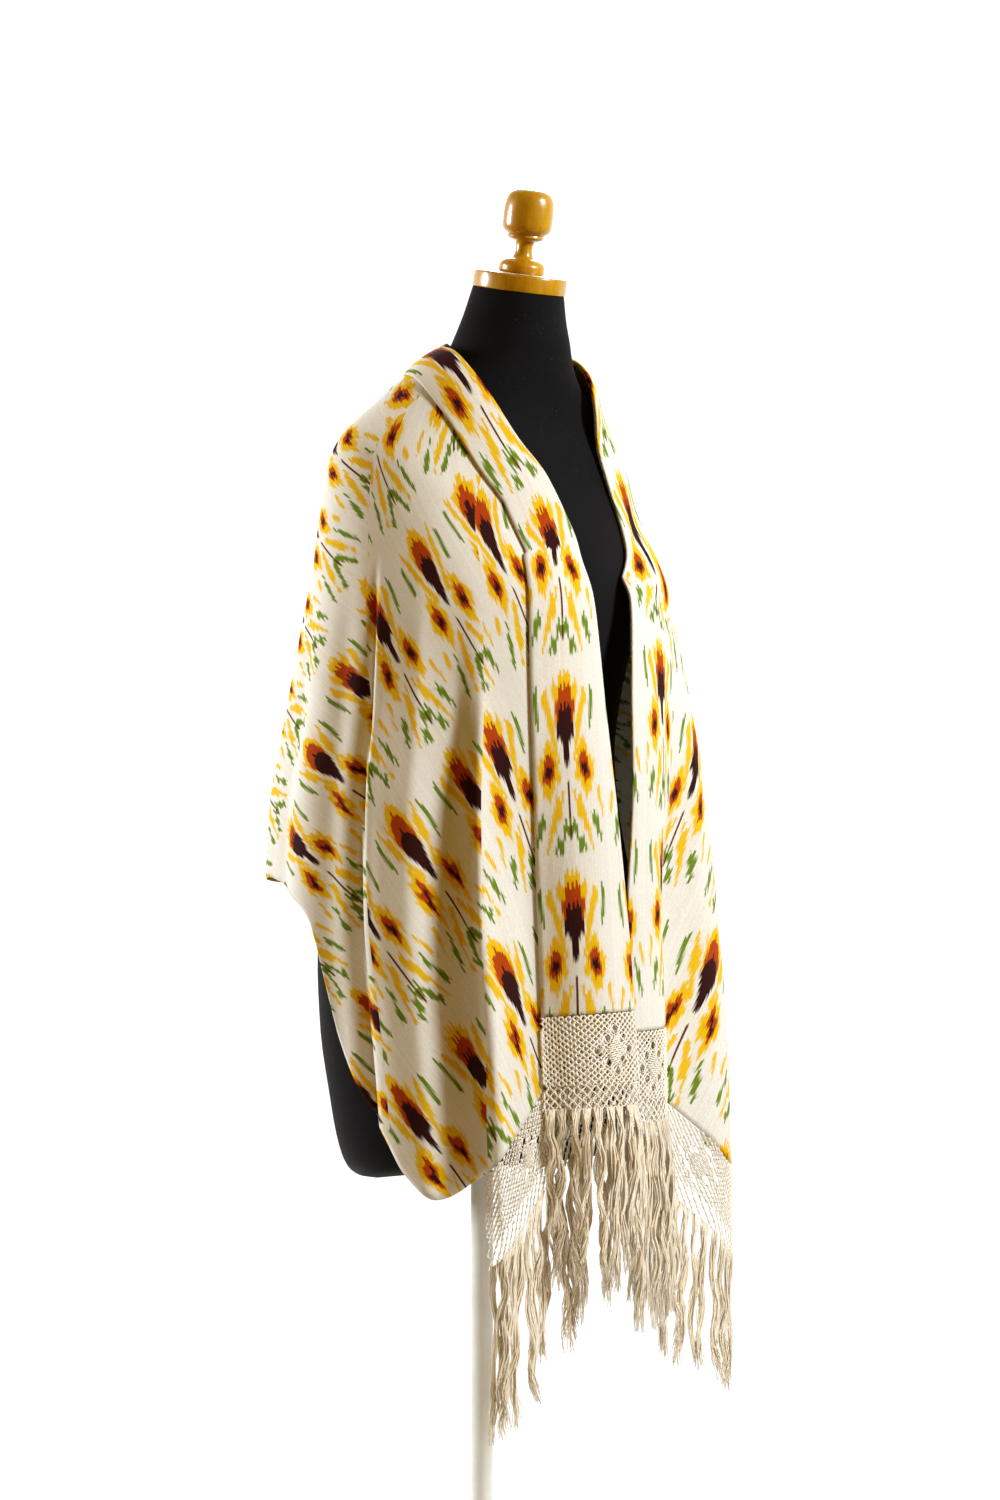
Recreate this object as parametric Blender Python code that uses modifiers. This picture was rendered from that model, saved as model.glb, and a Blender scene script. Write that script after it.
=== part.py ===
"""A long shawl with knotted net ends and tassels, worn on a limbless dress form.

Metres, +Z up. The origin is the centre of the stand's base, on the floor, and the form faces -Y.
An azimuth is measured round the form from its front: 0 is the front, 90 the side, 180 the back.
"""

import math

import bmesh
import bpy
import numpy as np
from mathutils import Vector
from mathutils.bvhtree import BVHTree

# Cloth
WALL = 0.0016
SEAM_GAP = 0.0003
SEAM_SHARE = 0.0030
NET_GAP = 0.0014
LAPEL_SEAM = 0.0009
# How wide the folded strip is where its folded edge has this height.
LAPEL_WIDTHS = (
    # height, width
    (0.55, 0.104),
    (0.66, 0.102),
    (0.85, 0.092),
    (0.98, 0.084),
    (1.09, 0.071),
    (1.20, 0.054),
    (1.30, 0.046),
)
LAPEL_AT_FOLD = 0.0034
LAPEL_AT_NAPE = 0.0023
NAPE_REACH = 0.060
LAPEL_OFF_CLOTH = 0.0066
LAPEL_ROLL = 0.018
NET_HEIGHT = 0.090
BACK_SPLIT = 128.0
SPLIT_LEVEL = 5.5
END_LEVEL = 8.0
DRAPE_COLUMNS = 36
DRAPE_ROWS = 21
TOP_CROWDING = 1.25
FRONT_CROWDING = 0.38
BACK_COLUMNS = 7
LAPEL_ROWS = 29
LAPEL_BACK_ROWS = 6
LAPEL_COLUMNS = 6
NECK_SIDE = 133.0
REST_GAP = 0.0004
FORM_CLEARANCE = 0.0034
SHOULDER_CLEARANCE = 0.0060
SHOULDER_START = 1.12
SHOULDER_FULL = 1.20
LOWEST_LAID_CLOTH = 0.53
# Small steps of level and azimuth, by which slopes of the cloth are measured.
LEVEL_STEP = 0.01
AZIMUTH_STEP = 0.4
HEM_PASSES = 12
NAPE_SAMPLES = 120
EDGE_SAMPLES = 500
TANGENT_WINDOW = 0.015
WALK_STEPS = 6

NET_ROWS = 9
LAPEL_NET_COLUMNS = 10
DRAPE_NET_COLUMNS = 18
LAPEL_LOZENGES = ((4, 3),)
DRAPE_LOZENGES = ((4, 4), (4, 12))

# Tassels
TASSELS = (
    # stretch, side, count, length at the folded edge and at the corner, how far the strip lies below
    # the net and out of its outer face, how far the tassels then lean out
    ("drape_right", "right", 20, (0.175, 0.165), 0.0011, -0.0030, 0.0),
    ("drape_left", "left", 20, (0.200, 0.130), 0.0011, -0.0030, 0.0),
    ("lapel_right", "right", 11, (0.165, 0.175), 0.0004, -0.0008, 0.0050),
    ("lapel_left", "left", 11, (0.200, 0.190), 0.0004, -0.0008, 0.0050),
)
LOCK_SWAY = 0.0022
STRIP_HEIGHT = 0.006
STRIP_THICKNESS = 0.0030
LOCK_RADIUS = 0.0034
LOCK_SIDES = 3
LOCK_STEPS = 4
LOCK_ROOT = 0.0035

# Stand and form
BASE_RADIUS = 0.160
BASE_THICKNESS = 0.014
POLE_RADIUS = 0.011
FORM_SIDES = 32
UNDERSIDE = 0.492
BOTTOM_TILT = 0.14
TILTED_BELOW = 0.62
LEVEL_BELOW_NECK = 1.27
NECK_TOP = (0.0, -0.0525, 1.347)
CAP_RADIUS = 0.0455
CAP_THICKNESS = 0.0165
CAP_LEAN = math.radians(10.5)
NECK_TILT = math.tan(CAP_LEAN)

# Level of the cloth: height at the side, front and back, half width, depth to the front and to the
# back of its centre line, and that line's y.
RIGHT_SECTIONS = (
    # side, front, back, half_width, to_front, to_back, centre_y
    (1.300, 1.262, 1.300, 0.064, 0.060, 0.060, -0.044),
    (1.278, 1.200, 1.262, 0.098, 0.078, 0.080, -0.034),
    (1.246, 1.170, 1.215, 0.134, 0.098, 0.092, -0.018),
    (1.190, 1.100, 1.150, 0.185, 0.118, 0.100, -0.008),
    (1.070, 1.050, 1.070, 0.196, 0.144, 0.128, -0.004),
    (0.950, 0.950, 0.950, 0.206, 0.160, 0.158, 0.000),
    (0.850, 0.850, 0.850, 0.220, 0.168, 0.180, 0.000),
    (0.750, 0.750, 0.750, 0.224, 0.176, 0.185, 0.000),
    (0.650, 0.650, 0.650, 0.215, 0.184, 0.180, 0.000),
    (0.550, 0.550, 0.550, 0.208, 0.190, 0.175, 0.000),
    (0.450, 0.450, 0.450, 0.206, 0.196, 0.170, 0.000),
    (0.350, 0.350, 0.350, 0.206, 0.200, 0.170, 0.000),
)
LEFT_SECTIONS = (
    (1.300, 1.262, 1.300, 0.064, 0.060, 0.060, -0.044),
    (1.278, 1.200, 1.262, 0.094, 0.074, 0.080, -0.034),
    (1.242, 1.160, 1.215, 0.128, 0.076, 0.092, -0.018),
    (1.180, 1.085, 1.150, 0.180, 0.084, 0.100, -0.008),
    (1.070, 1.050, 1.070, 0.208, 0.142, 0.128, -0.004),
    (0.950, 0.950, 0.950, 0.234, 0.160, 0.156, 0.000),
    (0.850, 0.850, 0.850, 0.250, 0.165, 0.180, 0.000),
    (0.750, 0.750, 0.750, 0.258, 0.165, 0.185, 0.000),
    (0.650, 0.650, 0.650, 0.268, 0.165, 0.180, 0.000),
    (0.550, 0.550, 0.550, 0.275, 0.165, 0.175, 0.000),
    (0.450, 0.450, 0.450, 0.280, 0.165, 0.170, 0.000),
    (0.350, 0.350, 0.350, 0.280, 0.165, 0.170, 0.000),
)

# Where the cloth's folded front edge runs: level, azimuth.
RIGHT_EDGE = (
    (0.0, 133.0),
    (0.3, 105.0),
    (0.62, 75.0),
    (1.0, 44.0),
    (1.5, 25.0),
    (2.0, 12.0),
    (3.0, -2.0),
    (4.0, -1.5),
    (5.0, -2.5),
    (6.0, -4.5),
    (7.0, -6.0),
    (8.0, -7.0),
    (9.0, -7.5),
    (11.0, -7.5),
)
LEFT_EDGE = (
    (0.0, 133.0),
    (0.3, 105.0),
    (0.62, 75.0),
    (1.0, 52.0),
    (1.5, 45.0),
    (2.0, 41.0),
    (3.0, 31.0),
    (4.0, 18.5),
    (5.0, 12.5),
    (6.0, 10.5),
    (7.0, 8.5),
    (8.0, 9.0),
    (9.0, 9.0),
    (11.0, 9.0),
)

# Lower end of the cloth: azimuth, height. It is the weft end as far as the corner, then the long edge.
RIGHT_HEM = (
    (-9.0, 0.661),
    (0.0, 0.651),
    (12.0, 0.618),
    (28.0, 0.556),
    (43.0, 0.503),
    (53.0, 0.487),
    (61.0, 0.510),
    (66.0, 0.540),
    (77.0, 0.602),
    (82.0, 0.648),
    (84.5, 0.700),
    (87.0, 0.742),
    (94.0, 0.765),
    (117.0, 0.785),
    (150.0, 0.775),
    (180.0, 0.755),
)
LEFT_HEM = (
    (8.0, 0.640),
    (22.0, 0.600),
    (36.0, 0.556),
    (53.0, 0.492),
    (66.0, 0.505),
    (77.0, 0.560),
    (88.0, 0.640),
    (96.0, 0.715),
    (106.0, 0.755),
    (120.0, 0.775),
    (150.0, 0.770),
    (180.0, 0.755),
)
RIGHT_CORNER = 40.0
LEFT_CORNER = 54.0

# Folds: azimuth of the crest, half width in degrees, height where it starts, height where it is
# full, and how far it stands out there.
RIGHT_FOLDS = (
    ("front_hollow", 21.0, 9.0, 0.98, 0.74, -0.022),
    ("pleat_crest", 37.0, 4.5, 1.10, 0.66, 0.014),
    ("pleat_valley", 46.0, 6.0, 1.10, 0.70, -0.014),
    ("arm_crest", 61.0, 8.0, 1.05, 0.70, 0.007),
    ("arm_crease", 71.0, 3.0, 1.12, 0.82, -0.006),
    ("side_crest", 92.0, 9.0, 1.10, 0.80, 0.006),
    ("back_crest", 140.0, 10.0, 1.10, 0.80, 0.008),
    ("back_valley", 160.0, 9.0, 1.15, 0.80, -0.010),
)
LEFT_FOLDS = (
    ("front_hollow", 33.0, 9.0, 1.02, 0.72, -0.026),
    ("front_crest", 52.0, 10.0, 1.14, 0.60, 0.021),
    ("front_valley", 72.0, 7.0, 1.05, 0.70, -0.012),
    ("arm_crease", 92.0, 5.0, 1.10, 0.80, -0.008),
    ("back_crest", 142.0, 9.0, 1.10, 0.80, 0.009),
    ("back_valley", 163.0, 8.0, 1.15, 0.80, -0.009),
)

SIDES = {
    "right": (-1.0, RIGHT_SECTIONS, RIGHT_EDGE, RIGHT_HEM, RIGHT_CORNER, RIGHT_FOLDS),
    "left": (1.0, LEFT_SECTIONS, LEFT_EDGE, LEFT_HEM, LEFT_CORNER, LEFT_FOLDS),
}

# Dress form: height, half width, depth to the front, depth to the back, centre line's y.
FORM_SECTIONS = (
    (0.4920, 0.118, 0.086, 0.084, -0.002),
    (0.4960, 0.134, 0.101, 0.099, -0.001),
    (0.5060, 0.145, 0.112, 0.111, 0.000),
    (0.5250, 0.153, 0.120, 0.119, 0.000),
    (0.5700, 0.163, 0.128, 0.128, 0.000),
    (0.6300, 0.174, 0.134, 0.134, 0.000),
    (0.7000, 0.178, 0.135, 0.135, 0.000),
    (0.7800, 0.160, 0.118, 0.124, -0.006),
    (0.8400, 0.142, 0.104, 0.110, -0.014),
    (0.9000, 0.130, 0.099, 0.100, -0.020),
    (0.9500, 0.136, 0.104, 0.098, -0.020),
    (1.0000, 0.149, 0.115, 0.099, -0.017),
    (1.0350, 0.157, 0.120, 0.100, -0.014),
    (1.0700, 0.160, 0.114, 0.100, -0.012),
    (1.1200, 0.164, 0.098, 0.097, -0.009),
    (1.1600, 0.165, 0.084, 0.092, -0.007),
    (1.1900, 0.160, 0.075, 0.086, -0.008),
    (1.2150, 0.145, 0.068, 0.078, -0.011),
    (1.2350, 0.122, 0.062, 0.071, -0.018),
    (1.2550, 0.094, 0.057, 0.065, -0.028),
    (1.2720, 0.074, 0.055, 0.060, -0.036),
    (1.2950, 0.0595, 0.054, 0.057, -0.043),
    (1.3220, 0.0500, 0.048, 0.050, -0.0485),
    (1.3470, 0.0440, 0.044, 0.045, -0.0525),
)

FINIAL_PROFILE = (
    # radius, height above the cap
    (0.0000, 0.0792),
    (0.0100, 0.0786),
    (0.0175, 0.0764),
    (0.0215, 0.0722),
    (0.0237, 0.0651),
    (0.0240, 0.0563),
    (0.0232, 0.0484),
    (0.0205, 0.0418),
    (0.0172, 0.0387),
    (0.0178, 0.0370),
    (0.0172, 0.0352),
    (0.0098, 0.0327),
    (0.0080, 0.0264),
    (0.0086, 0.0202),
    (0.0110, 0.0167),
    (0.0160, 0.0145),
    (0.0163, 0.0119),
    (0.0205, 0.0084),
    (0.0222, 0.0044),
    (0.0218, 0.0003),
    (0.0000, 0.0003),
)

COLOURS = {
    # red, green, blue, roughness
    "cloth": (0.86, 0.80, 0.68, 0.85),
    "net": (0.70, 0.63, 0.50, 0.90),
    "tassel": (0.74, 0.67, 0.54, 0.90),
    "jersey": (0.010, 0.010, 0.012, 0.90),
    "varnished_wood": (0.52, 0.25, 0.06, 0.25),
    "white_enamel": (0.80, 0.80, 0.80, 0.35),
}


def clear_scene():
    for old in list(bpy.data.objects):
        bpy.data.objects.remove(old, do_unlink=True)


def smooth(at, stations, values):
    """Monotone cubic interpolation of values over stations."""
    x = np.asarray(stations, float)
    y = np.asarray(values, float)
    at = np.clip(np.asarray(at, float), x[0], x[-1])
    run = np.diff(x)
    slope = np.diff(y) / run
    tangent = np.zeros(len(x))
    tangent[0] = slope[0]
    tangent[-1] = slope[-1]
    rising = slope[:-1] * slope[1:] > 0
    before = 2 * run[1:] + run[:-1]
    after = run[1:] + 2 * run[:-1]
    safe_first = np.where(rising, slope[:-1], 1.0)
    safe_second = np.where(rising, slope[1:], 1.0)
    mean = (before + after) / (before / safe_first + after / safe_second)
    tangent[1:-1] = np.where(rising, mean, 0.0)
    i = np.clip(np.searchsorted(x, at, side="right") - 1, 0, len(x) - 2)
    h = run[i]
    t = (at - x[i]) / h
    return (
        (2 * t**3 - 3 * t**2 + 1) * y[i]
        + (t**3 - 2 * t**2 + t) * h * tangent[i]
        + (3 * t**2 - 2 * t**3) * y[i + 1]
        + (t**3 - t**2) * h * tangent[i + 1]
    )


def ease(t):
    t = np.clip(t, 0.0, 1.0)
    return t * t * (3 - 2 * t)


def edge_azimuth(side, level):
    table = np.array(SIDES[side][2])
    return smooth(level, table[:, 0], table[:, 1])


def cloth_point(side, level, azimuth):
    """The cloth's outer face at a level and an azimuth, as x, y, z in the last axis."""
    sign, sections, _, _, _, folds = SIDES[side]
    table = np.array(sections)
    level, azimuth = np.broadcast_arrays(np.asarray(level, float), np.asarray(azimuth, float))
    steps = np.arange(len(table))
    at_side, at_front, at_back, wide, front, back, centre = (
        smooth(level, steps, table[:, column]) for column in range(7)
    )
    angle = np.radians(azimuth)
    ahead = np.cos(angle) > 0
    deep = np.where(ahead, front, back)
    far_height = np.where(ahead, at_front, at_back)
    height = at_side * np.sin(angle) ** 2 + far_height * np.cos(angle) ** 2
    x = wide * np.sin(angle)
    y = -deep * np.cos(angle)
    out = np.zeros_like(x)
    for _, crest, half, start, full, stands in folds:
        grown = ease((start - height) / (start - full))
        out = out + stands * grown * np.exp(-(((azimuth - crest) / half) ** 2))
    scale = 1 + out / np.maximum(np.hypot(x, y), 0.02)
    return clear_of_form(sign * x * scale, centre + y * scale, height)


def clear_of_form(x, y, height):
    """Cloth that would reach into the dress form is laid on it instead."""
    table = np.array(FORM_SECTIONS)
    wide, front, back, centre = (smooth(height, table[:, 0], table[:, column]) for column in range(1, 5))
    ahead = y - centre
    deep = np.where(ahead < 0, front, back)
    reach = np.hypot(x / wide, ahead / deep)
    on_shoulder = ease((height - SHOULDER_START) / (SHOULDER_FULL - SHOULDER_START))
    clearance = FORM_CLEARANCE + (SHOULDER_CLEARANCE - FORM_CLEARANCE) * on_shoulder
    least = 1.0 + clearance / np.maximum(np.hypot(x, ahead), 0.03)
    wanted = 0.5 * (reach + least + np.sqrt((reach - least) ** 2 + 0.03**2))
    push = np.where(height > LOWEST_LAID_CLOTH, wanted / np.maximum(reach, 1e-6), 1.0)
    return np.stack([x * push, centre + ahead * push, height], axis=-1)


def end_level(side, azimuth, drop=0.0):
    """The level at which the cloth's lower end lies, or a drop in metres below it."""
    sections, hem = SIDES[side][1], np.array(SIDES[side][3])
    target = smooth(azimuth, hem[:, 0], hem[:, 1]) - drop
    heights = np.array([row[0] for row in sections])
    return np.interp(-target, -heights, np.arange(len(heights)))


def slopes(side, level, azimuth):
    """How the cloth's outer face moves per level and per degree."""
    lower = cloth_point(side, level + LEVEL_STEP, azimuth)
    upper = cloth_point(side, level - LEVEL_STEP, azimuth)
    after = cloth_point(side, level, azimuth + AZIMUTH_STEP)
    before = cloth_point(side, level, azimuth - AZIMUTH_STEP)
    return (lower - upper) / (2 * LEVEL_STEP), (after - before) / (2 * AZIMUTH_STEP)


def outward(side, level, azimuth):
    """Unit normals of the cloth, facing away from the form."""
    along, round_it = slopes(side, level, azimuth)
    normal = np.cross(along, round_it) * SIDES[side][0]
    return normal / np.maximum(np.linalg.norm(normal, axis=-1, keepdims=True), 1e-12)


def collections():
    main = bpy.data.collections.new("shawl_on_dress_form")
    bpy.context.scene.collection.children.link(main)
    cutters = bpy.data.collections.new("cutters")
    bpy.context.scene.collection.children.link(cutters)
    return main, cutters


def material(name):
    found = bpy.data.materials.get(name)
    if found:
        return found
    red, green, blue, rough = COLOURS[name]
    made = bpy.data.materials.new(name)
    made.use_nodes = True
    shader = made.node_tree.nodes["Principled BSDF"]
    shader.inputs["Base Color"].default_value = (red, green, blue, 1.0)
    shader.inputs["Roughness"].default_value = rough
    shader.inputs["Metallic"].default_value = 0.0
    return made


def add_object(name, mesh, colour, collection, parent=None):
    mesh.materials.append(material(colour))
    made = bpy.data.objects.new(name, mesh)
    collection.objects.link(made)
    made.parent = parent
    return made


def grid_mesh(name, points, flip, left_out=()):
    """An open surface through a grid of points, without the cells named in left_out."""
    rows, columns = points.shape[:2]
    cells = []
    for row in range(rows - 1):
        for column in range(columns - 1):
            if (row, column) in left_out:
                continue
            a = row * columns + column
            cell = (a, a + 1, a + columns + 1, a + columns)
            cells.append(cell[::-1] if flip else cell)
    mesh = bpy.data.meshes.new(name)
    mesh.from_pydata([tuple(p) for p in points.reshape(-1, 3)], [], cells)
    mesh.update()
    return mesh


def add_wall(name, points, side, colour, collection, parent, thickness=WALL, left_out=()):
    """A cloth wall: the surface through the points with its thickness laid on the form's side."""
    mesh = grid_mesh(name, points, SIDES[side][0] > 0, left_out)
    made = add_object(name, mesh, colour, collection, parent)
    solid = made.modifiers.new("thickness", "SOLIDIFY")
    solid.thickness = thickness
    solid.offset = -1.0
    solid.use_even_offset = False
    return made


def drape_grid(side, share, rows):
    """Levels and azimuths of the cloth, from the neck to the hem, for shares of its way round."""
    reach = np.linspace(0.0, 1.0, rows)[:, None] ** TOP_CROWDING
    level = np.tile(reach * END_LEVEL, (1, len(share)))
    for _ in range(HEM_PASSES):
        last_start = edge_azimuth(side, level[-1])
        last = last_start + (180.0 - last_start) * share
        level = reach * end_level(side, last)[None, :]
    start = edge_azimuth(side, level)
    azimuth = start + (180.0 - start) * share[None, :]
    return level, azimuth


def split_share(side):
    """The share of the way round at which the back stretch begins at the hem."""
    start = float(edge_azimuth(side, SPLIT_LEVEL))
    return (BACK_SPLIT - start) / (180.0 - start)


def add_drapes(collection, parent):
    back = {}
    for side in SIDES:
        cut = split_share(side)
        share = np.linspace(0.0, 1.0, DRAPE_COLUMNS)
        share = cut * ((1.0 - FRONT_CROWDING) * share + FRONT_CROWDING * share**2)
        level, azimuth = drape_grid(side, share, DRAPE_ROWS)
        add_wall("drape_" + side, cloth_point(side, level, azimuth), side, "cloth", collection, parent)
        share = np.linspace(cut + SEAM_SHARE, 1.0, BACK_COLUMNS)
        level, azimuth = drape_grid(side, share, DRAPE_ROWS)
        back[side] = cloth_point(side, level, azimuth)
    middle = (back["right"][:, -1:] + back["left"][:, -1:]) / 2
    whole = np.concatenate([back["right"][:, :-1], middle, back["left"][:, -2::-1]], axis=1)
    add_wall("drape_back", whole, "right", "cloth", collection, parent)


def folded_edge(side, below=0.0):
    """The folded edge from the middle of the back down to the weft end: level, azimuth, distance."""
    end = float(end_level(side, float(edge_azimuth(side, END_LEVEL)), below))
    behind = np.linspace(180.0, NECK_SIDE, NAPE_SAMPLES)
    down = np.linspace(0.0, end, EDGE_SAMPLES)[1:]
    level = np.concatenate([0 * behind, down])
    azimuth = np.concatenate([behind, edge_azimuth(side, down)])
    line = cloth_point(side, level, azimuth)
    along = np.concatenate([[0.0], np.cumsum(np.linalg.norm(np.diff(line, axis=0), axis=1))])
    return level, azimuth, along


def points_along(line, along, at):
    """Points at distances along a line."""
    return np.stack([np.interp(at, along, line[:, axis]) for axis in range(3)], axis=-1)


def strip_grid(side, start, end, rows, columns, below=0.0):
    """The folded strip between two distances along its folded edge.

    Weft lines start square to the folded edge and run straight ahead over the cloth.
    """
    level, azimuth, along = folded_edge(side, below)
    at = np.linspace(start, end, rows)
    first_level, first_azimuth = np.interp(at, along, level), np.interp(at, along, azimuth)
    line = cloth_point(side, level, azimuth)
    before = np.clip(at - TANGENT_WINDOW, 0.0, along[-1])
    after = np.clip(at + TANGENT_WINDOW, 0.0, along[-1])
    tangent = points_along(line, along, after) - points_along(line, along, before)
    tangent[before <= 0.0] *= (1.0, 0.0, 1.0)
    normal = outward(side, first_level, first_azimuth)
    heading = np.cross(normal, tangent) * SIDES[side][0]
    table = np.array(LAPEL_WIDTHS)
    height = cloth_point(side, first_level, first_azimuth)[:, 2]
    width = smooth(height, table[:, 0], table[:, 1])
    steps = WALK_STEPS * (columns - 1)
    levels, azimuths = march(side, first_level, first_azimuth, heading, width / steps, steps)
    levels, azimuths = levels[::WALK_STEPS], azimuths[::WALK_STEPS]
    across = np.linspace(0.0, 1.0, columns)[:, None] * width[None, :]
    at_fold = np.interp(at, (0.0, NAPE_REACH), (LAPEL_AT_NAPE, LAPEL_AT_FOLD))
    out = at_fold + (LAPEL_OFF_CLOTH - at_fold) * ease(across / LAPEL_ROLL)
    points = cloth_point(side, levels, azimuths) + outward(side, levels, azimuths) * out[:, :, None]
    return points.transpose(1, 0, 2)


def march(side, level, azimuth, heading, step, count):
    """Walks over the cloth from each start, straight ahead, and returns the levels and azimuths."""
    levels, azimuths = [level], [azimuth]
    for _ in range(count):
        along, round_it = slopes(side, level, azimuth)
        normal = np.cross(round_it, along)
        normal = normal / np.linalg.norm(normal, axis=-1, keepdims=True)
        heading = heading - (heading * normal).sum(-1, keepdims=True) * normal
        heading = heading / np.linalg.norm(heading, axis=-1, keepdims=True)
        ll = (along * along).sum(-1)
        rr = (round_it * round_it).sum(-1)
        lr = (along * round_it).sum(-1)
        hl = (heading * along).sum(-1)
        hr = (heading * round_it).sum(-1)
        det = ll * rr - lr * lr
        level = np.maximum(level + step * (hl * rr - hr * lr) / det, 0.0)
        azimuth = azimuth + step * (hr * ll - hl * lr) / det
        levels.append(level)
        azimuths.append(azimuth)
    return np.array(levels), np.array(azimuths)


def add_lapels(collection, parent):
    back = {}
    for side in SIDES:
        _, azimuth, along = folded_edge(side)
        turn = float(np.interp(-NECK_SIDE, -azimuth[:NAPE_SAMPLES], along[:NAPE_SAMPLES]))
        points = strip_grid(side, turn + LAPEL_SEAM, along[-1], LAPEL_ROWS, LAPEL_COLUMNS)
        add_wall("lapel_" + side, points, side, "cloth", collection, parent)
        back[side] = strip_grid(side, 0.0, turn, LAPEL_BACK_ROWS, LAPEL_COLUMNS)
    middle = (back["right"][:1] + back["left"][:1]) / 2
    middle[:, :, 0] = 0.0
    whole = np.concatenate([back["left"][:0:-1], middle, back["right"][1:]], axis=0)
    add_wall("lapel_back", whole, "right", "cloth", collection, parent)


def holes(rows, columns, centres):
    """The four large gaps round each knotted lozenge, as cells of the net's grid."""
    cells = set()
    for row, column in centres:
        for down, across in ((-2, 0), (2, 0), (0, -2), (0, 2)):
            cell = (row + down, column + across)
            if 0 < cell[0] < rows - 2 and 0 < cell[1] < columns - 2:
                cells.add(cell)
    return cells


def add_nets(collection, parent):
    lower = {}
    for side in SIDES:
        end = folded_edge(side)[2][-1]
        far_end = folded_edge(side, NET_HEIGHT)[2][-1]
        points = strip_grid(side, end + SEAM_GAP, far_end, NET_ROWS, LAPEL_NET_COLUMNS, NET_HEIGHT)
        gaps = holes(NET_ROWS, LAPEL_NET_COLUMNS, LAPEL_LOZENGES)
        add_wall("net_lapel_" + side, points, side, "net", collection, parent, left_out=gaps)
        lower["lapel_" + side] = points[-1]
        first = float(edge_azimuth(side, END_LEVEL))
        azimuth = np.linspace(first, SIDES[side][4], DRAPE_NET_COLUMNS)[None, :]
        drop = np.linspace(NET_GAP, NET_HEIGHT, NET_ROWS)[:, None]
        level = end_level(side, azimuth + 0 * drop, drop + 0 * azimuth)
        points = cloth_point(side, level, azimuth)
        gaps = holes(NET_ROWS, DRAPE_NET_COLUMNS, DRAPE_LOZENGES)
        add_wall("net_drape_" + side, points, side, "net", collection, parent, left_out=gaps)
        lower["drape_" + side] = points[-1]
    return lower


def even_points(line, count):
    along = np.concatenate([[0.0], np.cumsum(np.linalg.norm(np.diff(line, axis=0), axis=1))])
    return points_along(line, along, np.linspace(0.0, along[-1], count))


def lock_points(root, along, out, length, turn, lean_out):
    """Rings of one tassel, which leans out, sways a little and thins to its tip."""
    rings = []
    for step in range(LOCK_STEPS + 1):
        t = step / LOCK_STEPS
        sway = LOCK_SWAY * math.sin(turn + 4.0 * t) * t
        lean = LOCK_SWAY * math.cos(2.3 * turn + 3.0 * t) * t + lean_out * min(1.0, 4.0 * t)
        centre = root + along * sway + out * lean - np.array([0.0, 0.0, length * t])
        radius = LOCK_RADIUS * (1.0 - 0.45 * t * t)
        ring = []
        for corner in range(LOCK_SIDES):
            angle = turn + 2 * math.pi * corner / LOCK_SIDES
            ring.append(centre + radius * (along * math.cos(angle) + out * math.sin(angle)))
        rings.append(ring)
    return rings


def add_tassels(row, line, collection, cutters, parent):
    """Tassels on a narrow strip that follows the net's lower edge."""
    stretch, side, count, lengths, drop, shift, lean_out = row
    name = "tassels_" + stretch
    roots = even_points(line, count + 2)
    tangent = np.gradient(roots, axis=0)
    tangent[:, 2] = 0.0
    tangent = tangent / np.linalg.norm(tangent, axis=1, keepdims=True)
    out = np.cross(tangent, np.array([0.0, 0.0, 1.0])) * SIDES[side][0]
    top = roots - np.array([0.0, 0.0, drop])
    bottom = top - np.array([0.0, 0.0, STRIP_HEIGHT])
    shape = bmesh.new()
    for i in range(1, count + 1):
        reach = lengths[0] + (lengths[1] - lengths[0]) * (i - 1) / (count - 1)
        reach = reach * (1.0 + 0.07 * math.sin(2.7 * i))
        root = top[i] + out[i] * shift - np.array([0.0, 0.0, LOCK_ROOT])
        rings = lock_points(root, tangent[i], out[i], reach, 1.9 * i, lean_out)
        loops = [[shape.verts.new(tuple(p)) for p in ring] for ring in rings]
        for upper, lower in zip(loops, loops[1:]):
            for a in range(LOCK_SIDES):
                b = (a + 1) % LOCK_SIDES
                shape.faces.new((upper[a], upper[b], lower[b], lower[a]))
        shape.faces.new(loops[0][::-1])
        shape.faces.new(loops[-1])
    bmesh.ops.recalc_face_normals(shape, faces=shape.faces)
    locks = bpy.data.meshes.new(name + "_locks")
    shape.to_mesh(locks)
    shape.free()
    cutter = add_object(name + "_locks", locks, "tassel", cutters, parent)
    cutter.hide_render = True
    cutter.display_type = "WIRE"
    centre = np.stack([top, bottom]) + out[None] * (shift + STRIP_THICKNESS / 2)
    strip = add_wall(name, centre, side, "tassel", collection, parent, STRIP_THICKNESS)
    join = strip.modifiers.new("tassels", "BOOLEAN")
    join.operation = "UNION"
    join.solver = "EXACT"
    join.object = cutter


def tree_of(made):
    """The points and a search tree of an object's evaluated mesh, in world space."""
    graph = bpy.context.evaluated_depsgraph_get()
    shaped = made.evaluated_get(graph)
    mesh = shaped.to_mesh()
    points = [made.matrix_world @ v.co for v in mesh.vertices]
    tree = BVHTree.FromPolygons(points, [tuple(p.vertices) for p in mesh.polygons])
    shaped.to_mesh_clear()
    return points, tree


def settling(form, names):
    """How far the cloth comes down until it lies on the form."""
    form_vertices, form_tree = tree_of(form)
    least = math.inf
    for name in names:
        cloth_vertices, cloth_tree = tree_of(bpy.data.objects[name])
        down = (form_tree.ray_cast(p, Vector((0, 0, -1)), 0.05) for p in cloth_vertices)
        up = (cloth_tree.ray_cast(p, Vector((0, 0, 1)), 0.05) for p in form_vertices)
        found = [hit[3] for hit in (*down, *up) if hit[3] is not None]
        least = min([least] + found)
    return max(least - REST_GAP, 0.0)


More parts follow.
